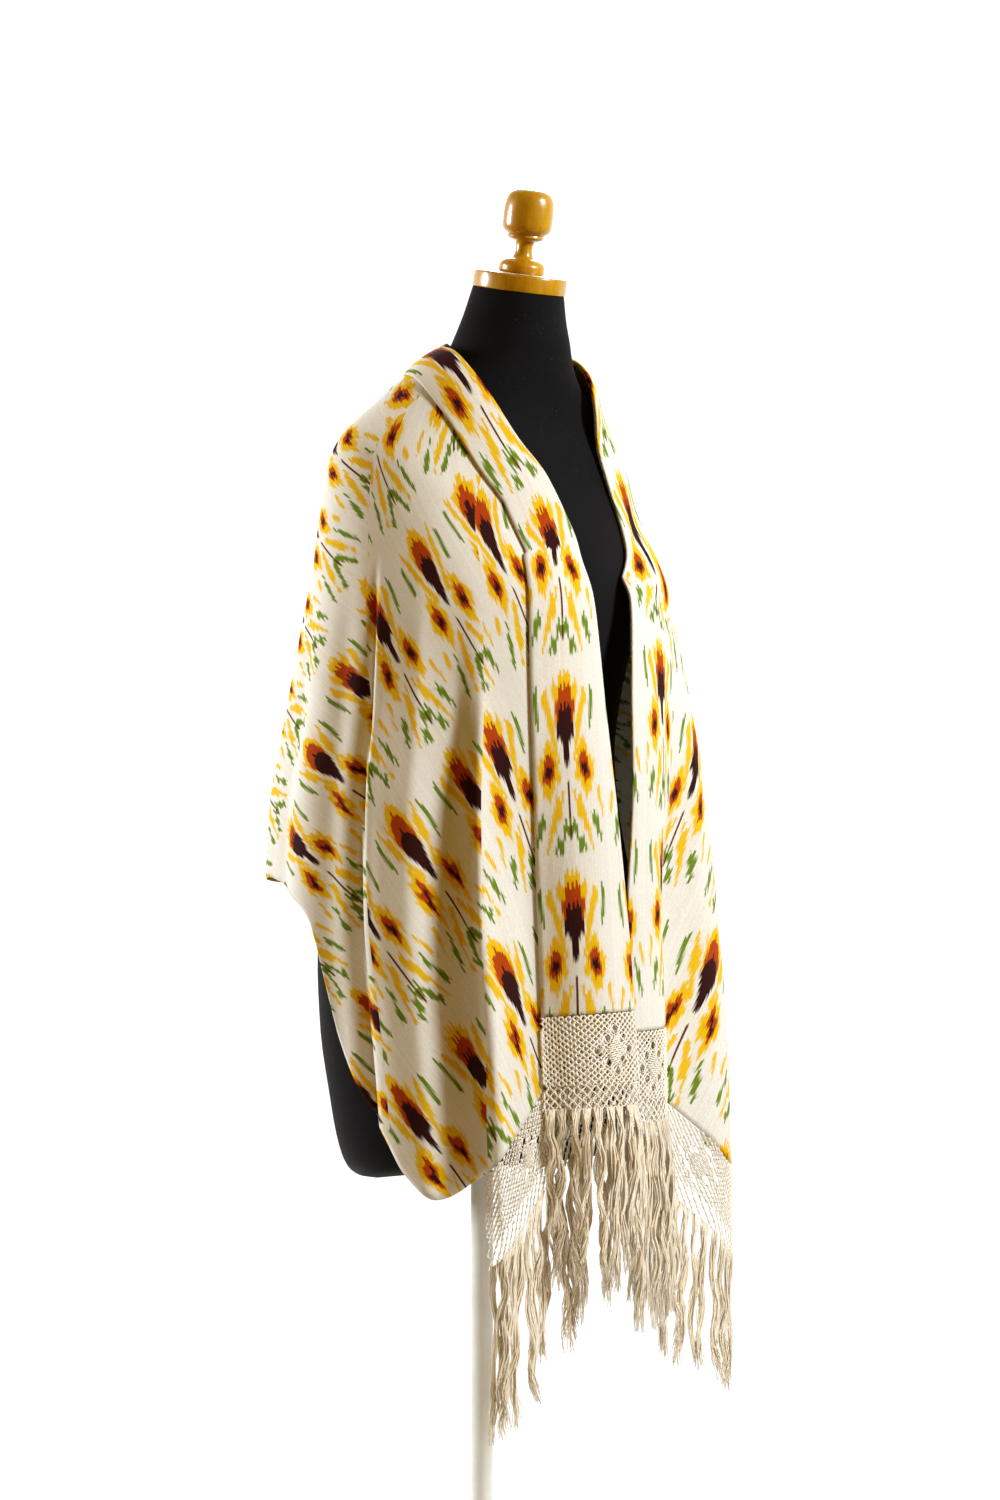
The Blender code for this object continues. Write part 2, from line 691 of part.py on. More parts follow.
def form_points():
    table = np.array(FORM_SECTIONS)
    angle = np.arange(FORM_SIDES) * 2 * math.pi / FORM_SIDES
    ahead = np.cos(angle) > 0
    rings = []
    for height, wide, front, back, centre in table:
        y = centre - np.where(ahead, front, back) * np.cos(angle)
        x = wide * np.sin(angle)
        z = np.full_like(x, height)
        low = float(ease((TILTED_BELOW - height) / 0.10))
        high = float(ease((height - LEVEL_BELOW_NECK) / 0.07))
        z = z - BOTTOM_TILT * low * y + NECK_TILT * high * (y - NECK_TOP[1])
        rings.append(np.stack([x, y, z], axis=-1))
    return np.array(rings)


def add_form(collection):
    rings = form_points()
    mesh = bpy.data.meshes.new("dress_form")
    shape = bmesh.new()
    loops = [[shape.verts.new(tuple(p)) for p in ring] for ring in rings]
    for lower, upper in zip(loops, loops[1:]):
        for i in range(FORM_SIDES):
            j = (i + 1) % FORM_SIDES
            shape.faces.new((lower[i], upper[i], upper[j], lower[j]))
    shape.faces.new(loops[-1])
    shape.faces.new(loops[0][::-1])
    bmesh.ops.recalc_face_normals(shape, faces=shape.faces)
    shape.to_mesh(mesh)
    shape.free()
    return add_object("dress_form", mesh, "jersey", collection)


def turned(name, profile, colour, collection, steps):
    mesh = bpy.data.meshes.new(name)
    edges = [(i, i + 1) for i in range(len(profile) - 1)]
    mesh.from_pydata([(radius, 0.0, height) for radius, height in profile], edges, [])
    made = add_object(name, mesh, colour, collection)
    spin = made.modifiers.new("turning", "SCREW")
    spin.steps = steps
    spin.render_steps = steps
    spin.use_merge_vertices = True
    spin.merge_threshold = 0.00005
    return made


def add_wood(collection):
    half = CAP_THICKNESS / 2
    up = Vector((0.0, -math.sin(CAP_LEAN), math.cos(CAP_LEAN)))
    seat = Vector(NECK_TOP) + up * SEAM_GAP
    bpy.ops.mesh.primitive_cylinder_add(vertices=32, radius=CAP_RADIUS, depth=CAP_THICKNESS)
    cap = bpy.context.object
    cap.name = "neck_cap"
    for held in list(cap.users_collection):
        held.objects.unlink(cap)
    collection.objects.link(cap)
    cap.data.materials.append(material("varnished_wood"))
    cap.location = seat + up * half
    cap.rotation_euler = (CAP_LEAN, 0.0, 0.0)
    soft = cap.modifiers.new("edge", "BEVEL")
    soft.width = 0.0016
    soft.segments = 2
    soft.limit_method = "ANGLE"
    finial = turned("finial", FINIAL_PROFILE, "varnished_wood", collection, 20)
    finial.location = seat + up * CAP_THICKNESS
    finial.rotation_euler = (CAP_LEAN, 0.0, 0.0)


def add_stand(collection):
    top = UNDERSIDE - 0.0020
    pole = (
        (0.0, top),
        (POLE_RADIUS - 0.001, top),
        (POLE_RADIUS, top - 0.001),
        (POLE_RADIUS, BASE_THICKNESS + 0.030),
        (0.020, BASE_THICKNESS + 0.022),
        (0.030, BASE_THICKNESS + 0.006),
        (0.031, BASE_THICKNESS + SEAM_GAP),
        (0.0, BASE_THICKNESS + SEAM_GAP),
    )
    turned("stand_pole", pole, "white_enamel", collection, 16)
    base = (
        (0.0, BASE_THICKNESS),
        (BASE_RADIUS - 0.020, BASE_THICKNESS),
        (BASE_RADIUS - 0.006, BASE_THICKNESS - 0.003),
        (BASE_RADIUS, BASE_THICKNESS - 0.008),
        (BASE_RADIUS, 0.002),
        (BASE_RADIUS - 0.002, 0.0),
        (0.0, 0.0),
    )
    turned("stand_base", base, "white_enamel", collection, 36)


def main():
    clear_scene()
    collection, cutters = collections()
    shawl = bpy.data.objects.new("shawl", None)
    collection.objects.link(shawl)
    add_drapes(collection, shawl)
    add_lapels(collection, shawl)
    lower = add_nets(collection, shawl)
    for row in TASSELS:
        add_tassels(row, lower[row[0]], collection, cutters, shawl)
    form = add_form(collection)
    shawl.location.z = -settling(form, ("drape_right", "drape_left", "drape_back"))
    add_wood(collection)
    add_stand(collection)


main()
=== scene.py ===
# %% [markdown]
# # A long ikat shawl on a dress form
#
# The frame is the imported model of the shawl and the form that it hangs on. Everything made here lies
# on that frame in metres, +Z up, with the form facing -Y and its right shoulder at -X. An azimuth is
# counted round the form from its front: 0 is the front, 90 the side and 180 the back.

import math

import bmesh
import bpy
import numpy as np
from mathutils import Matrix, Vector


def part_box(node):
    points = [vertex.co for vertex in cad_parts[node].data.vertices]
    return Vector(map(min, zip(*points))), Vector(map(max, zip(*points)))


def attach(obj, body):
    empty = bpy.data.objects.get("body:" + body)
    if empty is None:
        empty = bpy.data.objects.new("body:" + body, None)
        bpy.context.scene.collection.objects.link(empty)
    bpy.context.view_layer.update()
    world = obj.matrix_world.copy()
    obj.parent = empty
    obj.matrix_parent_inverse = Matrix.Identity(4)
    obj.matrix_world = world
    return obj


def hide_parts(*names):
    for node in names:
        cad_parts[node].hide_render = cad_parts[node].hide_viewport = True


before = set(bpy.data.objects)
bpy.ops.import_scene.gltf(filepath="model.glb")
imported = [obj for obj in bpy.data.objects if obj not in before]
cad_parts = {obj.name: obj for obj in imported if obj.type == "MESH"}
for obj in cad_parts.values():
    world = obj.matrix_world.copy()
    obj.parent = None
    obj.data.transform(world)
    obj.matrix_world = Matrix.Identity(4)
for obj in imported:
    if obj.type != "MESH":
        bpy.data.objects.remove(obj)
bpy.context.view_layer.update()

# %% [markdown]
# ## Camera
#
# The photograph was taken level with the chest, from the form's right front, with a long lens. A long
# lens flattens the form only a little, so its distance matters less than its direction. The camera
# stands 4.1 m away, where a metre at the form's axis is 1,020 px in the photograph, and a step to the
# side of 18 px puts the form left of the middle.

# %% Camera
CAMERA_AZIMUTH = math.radians(-43.0)
CAMERA_DISTANCE = 4.085
CAMERA_HEIGHT = 0.9016
CAMERA_SIDE_STEP = 0.01765
LENS_LENGTH = 100.0
SENSOR_HEIGHT = 36.0

to_camera = Vector((math.sin(CAMERA_AZIMUTH), -math.cos(CAMERA_AZIMUTH), 0.0))
to_right = Vector((math.cos(CAMERA_AZIMUTH), math.sin(CAMERA_AZIMUTH), 0.0))
lens = bpy.data.cameras.new("camera")
lens.lens = LENS_LENGTH
lens.sensor_fit = "VERTICAL"
lens.sensor_height = SENSOR_HEIGHT
camera = bpy.data.objects.new("camera", lens)
bpy.context.scene.collection.objects.link(camera)
camera.location = to_camera * CAMERA_DISTANCE + to_right * CAMERA_SIDE_STEP + Vector((0, 0, CAMERA_HEIGHT))
camera.rotation_euler = (math.radians(90.0), 0.0, CAMERA_AZIMUTH)
bpy.context.scene.camera = camera
print("camera at", [round(v, 3) for v in camera.location])

# %% [markdown]
# ## Light and floor
#
# A studio with pale walls lights cloth from all round, and one large lamp at the form's front makes
# the folds read. The floor is a pale round dais. Neither belongs to the object.

# %% Light and floor
LAMPS = (
    # name, azimuth and elevation in degrees, distance, width, watts
    ("front_lamp", 25.0, 28.0, 2.8, 0.8, 80.0),
    ("side_lamp", -138.0, 14.0, 3.0, 1.1, 86.0),
    ("back_lamp", 140.0, 30.0, 3.0, 1.6, 30.0),
)
LAMP_COLOUR = (0.91, 0.97, 1.0)
LAMP_AIM = 0.9
DIM_FROM, WHITE_FROM = 0.10, 0.80
DIM_WALL = (0.25, 0.140, 0.008, 1.0)
WHITE_WALL = (1.0, 1.0, 1.0, 1.0)
FLOOR_RADIUS = 0.88
FLOOR_DROP = 0.001


def add_lamp(name, azimuth, elevation, distance, size, watts):
    a, e = math.radians(azimuth), math.radians(elevation)
    place = Vector((math.sin(a) * math.cos(e), -math.cos(a) * math.cos(e), math.sin(e))) * distance
    light = bpy.data.lights.new(name, "AREA")
    light.shape = "DISK"
    light.size = size
    light.energy = watts
    light.color = LAMP_COLOUR
    lamp = bpy.data.objects.new(name, light)
    bpy.context.scene.collection.objects.link(lamp)
    lamp.location = place + Vector((0, 0, LAMP_AIM))
    lamp.rotation_euler = (-place).to_track_quat("-Z", "Y").to_euler()


for lamp_row in LAMPS:
    add_lamp(*lamp_row)

# The light is white from behind the form and warmer and dimmer from round the camera, as in a room with
# one white wall. Whatever side is looked at, the paper behind it is white.
world = bpy.data.worlds.new("studio")
world.use_nodes = True
sky = world.node_tree
direction = sky.nodes.new("ShaderNodeTexCoord").outputs["Generated"]
facing = sky.nodes.new("ShaderNodeVectorMath")
facing.operation = "DOT_PRODUCT"
facing.inputs[1].default_value = (-to_camera.x, -to_camera.y, 0.0)
sky.links.new(direction, facing.inputs[0])
walls = sky.nodes.new("ShaderNodeMapRange")
walls.interpolation_type = "SMOOTHSTEP"
walls.inputs["From Min"].default_value = DIM_FROM
walls.inputs["From Max"].default_value = WHITE_FROM
sky.links.new(facing.outputs["Value"], walls.inputs["Value"])
shades = sky.nodes.new("ShaderNodeMix")
shades.data_type = "RGBA"
shades.inputs[6].default_value = DIM_WALL
shades.inputs[7].default_value = WHITE_WALL
sky.links.new(walls.outputs[0], shades.inputs[0])
sky.links.new(shades.outputs[2], sky.nodes["Background"].inputs["Color"])
paper = sky.nodes.new("ShaderNodeBackground")
paper.inputs["Color"].default_value = WHITE_WALL
seen = sky.nodes.new("ShaderNodeMixShader")
sky.links.new(sky.nodes.new("ShaderNodeLightPath").outputs["Is Camera Ray"], seen.inputs[0])
sky.links.new(sky.nodes["Background"].outputs[0], seen.inputs[1])
sky.links.new(paper.outputs[0], seen.inputs[2])
sky.links.new(seen.outputs[0], sky.nodes["World Output"].inputs["Surface"])
bpy.context.scene.world = world
bpy.context.scene.view_settings.view_transform = "Standard"
bpy.context.scene.view_settings.look = "Medium High Contrast"

bpy.ops.mesh.primitive_circle_add(
    vertices=128, radius=FLOOR_RADIUS, fill_type="NGON", location=(0, 0, -FLOOR_DROP)
)
floor = bpy.context.object
floor.name = "floor"

# %% [markdown]
# ## The cloth's surface
#
# The draped cloth is one smooth surface. Tables give its outline as a ladder of level rings: height at
# the side, front and back, half width, and depth to the front and back. Folds are soft ridges and
# troughs that grow downwards. These are the sizes that the solids have, so the thin cloth made here
# lies just where its solid lies, and only the creases are finer.

# %% Tables of the cloth
RIGHT_SECTIONS = (
    # side, front, back, half_width, to_front, to_back, centre_y
    (1.300, 1.262, 1.300, 0.064, 0.060, 0.060, -0.044),
    (1.278, 1.200, 1.262, 0.098, 0.078, 0.080, -0.034),
    (1.246, 1.170, 1.215, 0.134, 0.098, 0.092, -0.018),
    (1.190, 1.100, 1.150, 0.185, 0.118, 0.100, -0.008),
    (1.070, 1.050, 1.070, 0.196, 0.144, 0.128, -0.004),
    (0.950, 0.950, 0.950, 0.206, 0.160, 0.158, 0.000),
    (0.850, 0.850, 0.850, 0.220, 0.168, 0.180, 0.000),
    (0.750, 0.750, 0.750, 0.224, 0.176, 0.185, 0.000),
    (0.650, 0.650, 0.650, 0.215, 0.184, 0.180, 0.000),
    (0.550, 0.550, 0.550, 0.208, 0.190, 0.175, 0.000),
    (0.450, 0.450, 0.450, 0.206, 0.196, 0.170, 0.000),
    (0.350, 0.350, 0.350, 0.206, 0.200, 0.170, 0.000),
)
LEFT_SECTIONS = (
    (1.300, 1.262, 1.300, 0.064, 0.060, 0.060, -0.044),
    (1.278, 1.200, 1.262, 0.094, 0.074, 0.080, -0.034),
    (1.242, 1.160, 1.215, 0.128, 0.076, 0.092, -0.018),
    (1.180, 1.085, 1.150, 0.180, 0.084, 0.100, -0.008),
    (1.070, 1.050, 1.070, 0.208, 0.142, 0.128, -0.004),
    (0.950, 0.950, 0.950, 0.234, 0.160, 0.156, 0.000),
    (0.850, 0.850, 0.850, 0.250, 0.165, 0.180, 0.000),
    (0.750, 0.750, 0.750, 0.258, 0.165, 0.185, 0.000),
    (0.650, 0.650, 0.650, 0.268, 0.165, 0.180, 0.000),
    (0.550, 0.550, 0.550, 0.275, 0.165, 0.175, 0.000),
    (0.450, 0.450, 0.450, 0.280, 0.165, 0.170, 0.000),
    (0.350, 0.350, 0.350, 0.280, 0.165, 0.170, 0.000),
)
RIGHT_EDGE = (
    # level, azimuth of the folded front edge
    (0.0, 133.0), (0.3, 105.0), (0.62, 75.0), (1.0, 44.0), (1.5, 25.0), (2.0, 12.0), (3.0, -2.0),
    (4.0, -1.5), (5.0, -2.5), (6.0, -4.5), (7.0, -6.0), (8.0, -7.0), (9.0, -7.5), (11.0, -7.5),
)
LEFT_EDGE = (
    (0.0, 133.0), (0.3, 105.0), (0.62, 75.0), (1.0, 52.0), (1.5, 45.0), (2.0, 41.0), (3.0, 31.0),
    (4.0, 18.5), (5.0, 12.5), (6.0, 10.5), (7.0, 8.5), (8.0, 9.0), (9.0, 9.0), (11.0, 9.0),
)
RIGHT_HEM = (
    # azimuth, height of the lower end
    (-9.0, 0.661), (0.0, 0.651), (12.0, 0.618), (28.0, 0.556), (43.0, 0.503), (53.0, 0.487),
    (61.0, 0.510), (66.0, 0.540), (77.0, 0.602), (82.0, 0.648), (84.5, 0.700), (87.0, 0.742),
    (94.0, 0.765), (117.0, 0.785), (150.0, 0.775), (180.0, 0.755),
)
LEFT_HEM = (
    (8.0, 0.640), (22.0, 0.600), (36.0, 0.556), (53.0, 0.492), (66.0, 0.505), (77.0, 0.560),
    (88.0, 0.640), (96.0, 0.715), (106.0, 0.755), (120.0, 0.775), (150.0, 0.770), (180.0, 0.755),
)
RIGHT_CORNER = 40.0
LEFT_CORNER = 54.0
RIGHT_FOLDS = (
    # crest azimuth, half width, start height, full height, how far it stands out
    (21.0, 9.0, 0.98, 0.74, -0.022),
    (37.0, 4.5, 1.10, 0.66, 0.014),
    (46.0, 6.0, 1.10, 0.70, -0.014),
    (61.0, 8.0, 1.05, 0.70, 0.007),
    (71.0, 3.0, 1.12, 0.82, -0.006),
    (92.0, 9.0, 1.10, 0.80, 0.006),
    (140.0, 10.0, 1.10, 0.80, 0.008),
    (160.0, 9.0, 1.15, 0.80, -0.010),
)
LEFT_FOLDS = (
    (33.0, 9.0, 1.02, 0.72, -0.026),
    (52.0, 10.0, 1.14, 0.60, 0.021),
    (72.0, 7.0, 1.05, 0.70, -0.012),
    (92.0, 5.0, 1.10, 0.80, -0.008),
    (142.0, 9.0, 1.10, 0.80, 0.009),
    (163.0, 8.0, 1.15, 0.80, -0.009),
)
# Small creases that only the thin cloth has, in the same columns.
RIGHT_CREASES = (
    (36.0, 1.6, 1.02, 0.86, 0.0045),
    (42.5, 3.2, 1.05, 0.80, -0.0070),
    (55.0, 3.0, 1.12, 0.95, 0.0028),
    (70.5, 1.1, 1.10, 1.00, -0.0042),
    (68.2, 1.4, 1.10, 1.00, 0.0026),
    (81.0, 4.0, 1.10, 0.95, -0.0030),
    (104.0, 5.0, 1.12, 0.90, -0.0040),
    (120.0, 5.0, 1.10, 0.90, 0.0040),
)
LEFT_CREASES = (
    (44.0, 2.4, 1.05, 0.90, 0.0030),
    (62.0, 3.0, 1.10, 0.90, -0.0030),
    (74.6, 1.2, 1.10, 0.95, -0.0045),
    (71.8, 1.6, 1.10, 0.95, 0.0030),
    (82.0, 3.0, 1.10, 0.95, 0.0035),
    (104.0, 5.0, 1.12, 0.90, 0.0040),
    (122.0, 5.0, 1.10, 0.90, -0.0040),
)
SIDES = {
    "right": (-1.0, RIGHT_SECTIONS, RIGHT_EDGE, RIGHT_HEM, RIGHT_CORNER, RIGHT_FOLDS + RIGHT_CREASES),
    "left": (1.0, LEFT_SECTIONS, LEFT_EDGE, LEFT_HEM, LEFT_CORNER, LEFT_FOLDS + LEFT_CREASES),
}
FORM_SECTIONS = (
    # height, half_width, to_front, to_back, centre_y
    (0.4920, 0.118, 0.086, 0.084, -0.002),
    (0.4960, 0.134, 0.101, 0.099, -0.001),
    (0.5060, 0.145, 0.112, 0.111, 0.000),
    (0.5250, 0.153, 0.120, 0.119, 0.000),
    (0.5700, 0.163, 0.128, 0.128, 0.000),
    (0.6300, 0.174, 0.134, 0.134, 0.000),
    (0.7000, 0.178, 0.135, 0.135, 0.000),
    (0.7800, 0.160, 0.118, 0.124, -0.006),
    (0.8400, 0.142, 0.104, 0.110, -0.014),
    (0.9000, 0.130, 0.099, 0.100, -0.020),
    (0.9500, 0.136, 0.104, 0.098, -0.020),
    (1.0000, 0.149, 0.115, 0.099, -0.017),
    (1.0350, 0.157, 0.120, 0.100, -0.014),
    (1.0700, 0.160, 0.114, 0.100, -0.012),
    (1.1200, 0.164, 0.098, 0.097, -0.009),
    (1.1600, 0.165, 0.084, 0.092, -0.007),
    (1.1900, 0.160, 0.075, 0.086, -0.008),
    (1.2150, 0.145, 0.068, 0.078, -0.011),
    (1.2350, 0.122, 0.062, 0.071, -0.018),
    (1.2550, 0.094, 0.057, 0.065, -0.028),
    (1.2720, 0.074, 0.055, 0.060, -0.036),
    (1.2950, 0.0595, 0.054, 0.057, -0.043),
    (1.3220, 0.0500, 0.048, 0.050, -0.0485),
    (1.3470, 0.0440, 0.044, 0.045, -0.0525),
)
FORM_CLEARANCE = 0.0034
SHOULDER_CLEARANCE = 0.0060
SHOULDER_FROM, SHOULDER_RISE = 1.12, 0.08
SOFT_LANDING = 0.03
FORM_ENDS = 0.53
NAPE_AZIMUTH = 133.0
END_LEVEL = 8.0
LEVEL_STEP = 0.01
AZIMUTH_STEP = 0.4
print("rings", len(RIGHT_SECTIONS), "folds", len(RIGHT_FOLDS) + len(LEFT_FOLDS))


# %% Surface of the cloth
def smooth(at, stations, values):
    """Monotone cubic interpolation of values over stations."""
    x = np.asarray(stations, float)
    y = np.asarray(values, float)
    at = np.clip(np.asarray(at, float), x[0], x[-1])
    run = np.diff(x)
    slope = np.diff(y) / run
    tangent = np.zeros(len(x))
    tangent[0] = slope[0]
    tangent[-1] = slope[-1]
    rising = slope[:-1] * slope[1:] > 0
    before = 2 * run[1:] + run[:-1]
    after = run[1:] + 2 * run[:-1]
    first = np.where(rising, slope[:-1], 1.0)
    second = np.where(rising, slope[1:], 1.0)
    tangent[1:-1] = np.where(rising, (before + after) / (before / first + after / second), 0.0)
    i = np.clip(np.searchsorted(x, at, side="right") - 1, 0, len(x) - 2)
    h = run[i]
    t = (at - x[i]) / h
    return (
        (2 * t**3 - 3 * t**2 + 1) * y[i]
        + (t**3 - 2 * t**2 + t) * h * tangent[i]
        + (3 * t**2 - 2 * t**3) * y[i + 1]
        + (t**3 - t**2) * h * tangent[i + 1]
    )


def ease(t):
    """A soft step from 0 to 1."""
    t = np.clip(t, 0.0, 1.0)
    return t * t * (3 - 2 * t)


def distance_along(line):
    """How far along a line of points each of them lies."""
    return np.concatenate([[0.0], np.cumsum(np.linalg.norm(np.diff(line, axis=0), axis=1))])


def edge_azimuth(side, level):
    table = np.array(SIDES[side][2])
    return smooth(level, table[:, 0], table[:, 1])


def clear_of_form(x, y, height):
    """Cloth that would reach into the form is laid on it instead."""
    table = np.array(FORM_SECTIONS)
    wide, front, back, centre = (smooth(height, table[:, 0], table[:, column]) for column in range(1, 5))
    ahead = y - centre
    deep = np.where(ahead < 0, front, back)
    reach = np.hypot(x / wide, ahead / deep)
    at_shoulder = ease((height - SHOULDER_FROM) / SHOULDER_RISE)
    clearance = FORM_CLEARANCE + (SHOULDER_CLEARANCE - FORM_CLEARANCE) * at_shoulder
    least = 1.0 + clearance / np.maximum(np.hypot(x, ahead), 0.03)
    wanted = 0.5 * (reach + least + np.sqrt((reach - least) ** 2 + SOFT_LANDING**2))
    push = np.where(height > FORM_ENDS, wanted / np.maximum(reach, 1e-6), 1.0)
    return np.stack([x * push, centre + ahead * push, height], axis=-1)


def cloth_point(side, level, azimuth):
    """The cloth's outer face at a level and an azimuth."""
    sign, sections, _, _, _, folds = SIDES[side]
    table = np.array(sections)
    level, azimuth = np.broadcast_arrays(np.asarray(level, float), np.asarray(azimuth, float))
    steps = np.arange(len(table))
    at_side, at_front, at_back, wide, front, back, centre = (
        smooth(level, steps, table[:, column]) for column in range(7)
    )
    angle = np.radians(azimuth)
    ahead = np.cos(angle) > 0
    deep = np.where(ahead, front, back)
    height = at_side * np.sin(angle) ** 2 + np.where(ahead, at_front, at_back) * np.cos(angle) ** 2
    x = wide * np.sin(angle)
    y = -deep * np.cos(angle)
    out = np.zeros_like(x)
    for crest, half, start, full, stands in folds:
        grown = ease((start - height) / (start - full))
        out = out + stands * grown * np.exp(-(((azimuth - crest) / half) ** 2))
    scale = 1 + out / np.maximum(np.hypot(x, y), 0.02)
    return clear_of_form(sign * x * scale, centre + y * scale, height)


def end_level(side, azimuth, drop=0.0):
    """The level at which the cloth's lower end lies, or a drop in metres below it."""
    sections, hem = SIDES[side][1], np.array(SIDES[side][3])
    target = smooth(azimuth, hem[:, 0], hem[:, 1]) - drop
    heights = np.array([row[0] for row in sections])
    return np.interp(-target, -heights, np.arange(len(heights)))


def slopes(side, level, azimuth):
    """How the cloth's outer face moves per level and per degree."""
    lower = cloth_point(side, level + LEVEL_STEP, azimuth)
    upper = cloth_point(side, level - LEVEL_STEP, azimuth)
    after = cloth_point(side, level, azimuth + AZIMUTH_STEP)
    before = cloth_point(side, level, azimuth - AZIMUTH_STEP)
    return (lower - upper) / (2 * LEVEL_STEP), (after - before) / (2 * AZIMUTH_STEP)


def outward(side, level, azimuth):
    along, round_it = slopes(side, level, azimuth)
    normal = np.cross(along, round_it) * SIDES[side][0]
    return normal / np.maximum(np.linalg.norm(normal, axis=-1, keepdims=True), 1e-12)


# The solids were lowered until they lie on the form, and this cloth comes down as far.
nape = cloth_point("right", 0.0, np.linspace(NAPE_AZIMUTH, 180.0, 80))
settled = float(nape[:, 2].max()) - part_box("drape_back")[1][2]
print("cloth comes down by", round(settled * 1000, 2), "mm")

# %% [markdown]
# ## The lay of the weave
#
# The pattern is dyed into the warp, so it follows the threads and not the room. Where the cloth hangs
# on the slant, the flower columns run down towards the front at the same slant. Each panel between two
# creases therefore gets its own lay: the slant of its warp and the place of one flower. All the panels
# of the main width have one repeat, and how far the cloth runs to a degree on the front panels is
# measured on its surface. On the sides the warp turns slowly until it runs level across the back.

# %% Lay of the weave
CHART_RADIUS = 0.2
COLUMN_WIDTH = 0.084
REPEAT_LENGTH = 0.195
PANEL_LAYS = {
    # panel: side, slant of the warp from upright in degrees, azimuth and height of one flower
    "right_strip": ("right", 24.0, 31.0, 0.90),
    "right_front": ("right", 38.0, 39.5, 0.87),
    "left_front": ("left", 24.0, 46.5, 0.90),
}
STRETCH_REACH = 6.0
STRETCH_GRID = (91, 31)
# The side's lay, on a chart of an even radius: a start, a slant that grows towards the back, and the
# place in the pattern. The left side is moved on by whole columns and repeats, and takes over from
# the left front at an azimuth, over a reach in degrees that grows with height.
SIDE_START = 0.25
SIDE_HEIGHT = 1.0
SIDE_SLANT = math.radians(60.0)
SIDE_TURN = math.radians(30.0) / (CHART_RADIUS * math.pi - SIDE_START)
SIDE_COLUMN = -0.46
SIDE_REPEAT = 0.013
LEFT_MOVED_ON = (2.0, -1.0)
TURN_AZIMUTH = 74.0
TURN_REACH, TURN_REACH_GROWS = 0.8, 28.0
TURN_FROM, TURN_RISE = 0.90, 0.18
RIGHT_PANEL_EDGES = (
    # level, azimuth of the crest and of the crease between panels
    (0.0, 35.0, 74.0), (4.0, 35.0, 74.0), (5.0, 35.2, 71.0), (6.5, 35.6, 67.6), (9.0, 39.0, 65.0),
)
LEFT_PANEL_EDGES = ((0.0, 44.0, 104.0), (9.0, 44.0, 104.0))
PANEL_EDGES = {"right": RIGHT_PANEL_EDGES, "left": LEFT_PANEL_EDGES}
PANEL_SHARES = {"right": (0.0, 0.12, 0.35), "left": (0.0, 0.10, 0.40)}
PANELS = {"right": ("right_strip", "right_front", "side"), "left": ("left_front", "left_turn", "left_side")}
PANEL_COLUMNS = {"right": (30, 46, 66), "left": (36, 50, 46)}
CLOTH_ROWS = 132
ROWS_CROWD = 1.12


def cloth_to_a_radian(side, azimuth, height):
    """Metres of cloth to a radian round the form, measured on the surface about a place."""
    level, round_it = np.meshgrid(
        np.linspace(0.0, END_LEVEL, STRETCH_GRID[0]),
        np.linspace(azimuth - STRETCH_REACH, azimuth + STRETCH_REACH, STRETCH_GRID[1]),
        indexing="ij",
    )
    points = cloth_point(side, level, round_it)
    row = points[np.abs(points[:, :, 2].mean(axis=1) - height).argmin(), :, :2]
    return np.linalg.norm(np.diff(row, axis=0), axis=1).sum() / math.radians(2 * STRETCH_REACH)


STRETCHES = {name: cloth_to_a_radian(lay[0], lay[2], lay[3]) for name, lay in PANEL_LAYS.items()}
print("metres of cloth to a radian:", {name: round(float(value), 3) for name, value in STRETCHES.items()})


def weave_at(panel, azimuth, height):
    """Flower columns and repeats, counted in the cloth, at places on a panel."""
    round_it = CHART_RADIUS * np.radians(azimuth)
    if panel == "left_side":
        return weave_at("side", azimuth, height) + LEFT_MOVED_ON
    if panel == "left_turn":
        # Over the shoulder the warp turns smoothly. Lower down a crease swallows the difference.
        reach = TURN_REACH + TURN_REACH_GROWS * ease((height - TURN_FROM) / TURN_RISE)
        turned = ease((azimuth - TURN_AZIMUTH + reach) / (2 * reach))[:, :, None]
        front, side = weave_at("left_front", azimuth, height), weave_at("left_side", azimuth, height)
        return front + (side - front) * turned
    if panel != "side":
        _, degrees, flower_azimuth, flower_height = PANEL_LAYS[panel]
        slant = math.radians(degrees)
        round_it = STRETCHES[panel] * np.radians(azimuth - flower_azimuth)
        up = height - flower_height
        column = (round_it * math.cos(slant) - up * math.sin(slant)) / COLUMN_WIDTH
        repeat = -(up * math.cos(slant) + round_it * math.sin(slant)) / REPEAT_LENGTH
        return np.stack([column, repeat], axis=-1)
    slant = SIDE_SLANT + SIDE_TURN * np.maximum(round_it - SIDE_START, -0.05)
    column = SIDE_COLUMN + (np.sin(slant) - math.sin(SIDE_SLANT)) / SIDE_TURN / COLUMN_WIDTH
    repeat = SIDE_REPEAT - (math.cos(SIDE_SLANT) - np.cos(slant)) / SIDE_TURN / REPEAT_LENGTH
    down = SIDE_HEIGHT - height
    return np.stack(
        [column + down * np.sin(slant) / COLUMN_WIDTH, repeat + down * np.cos(slant) / REPEAT_LENGTH],
        axis=-1,
    )


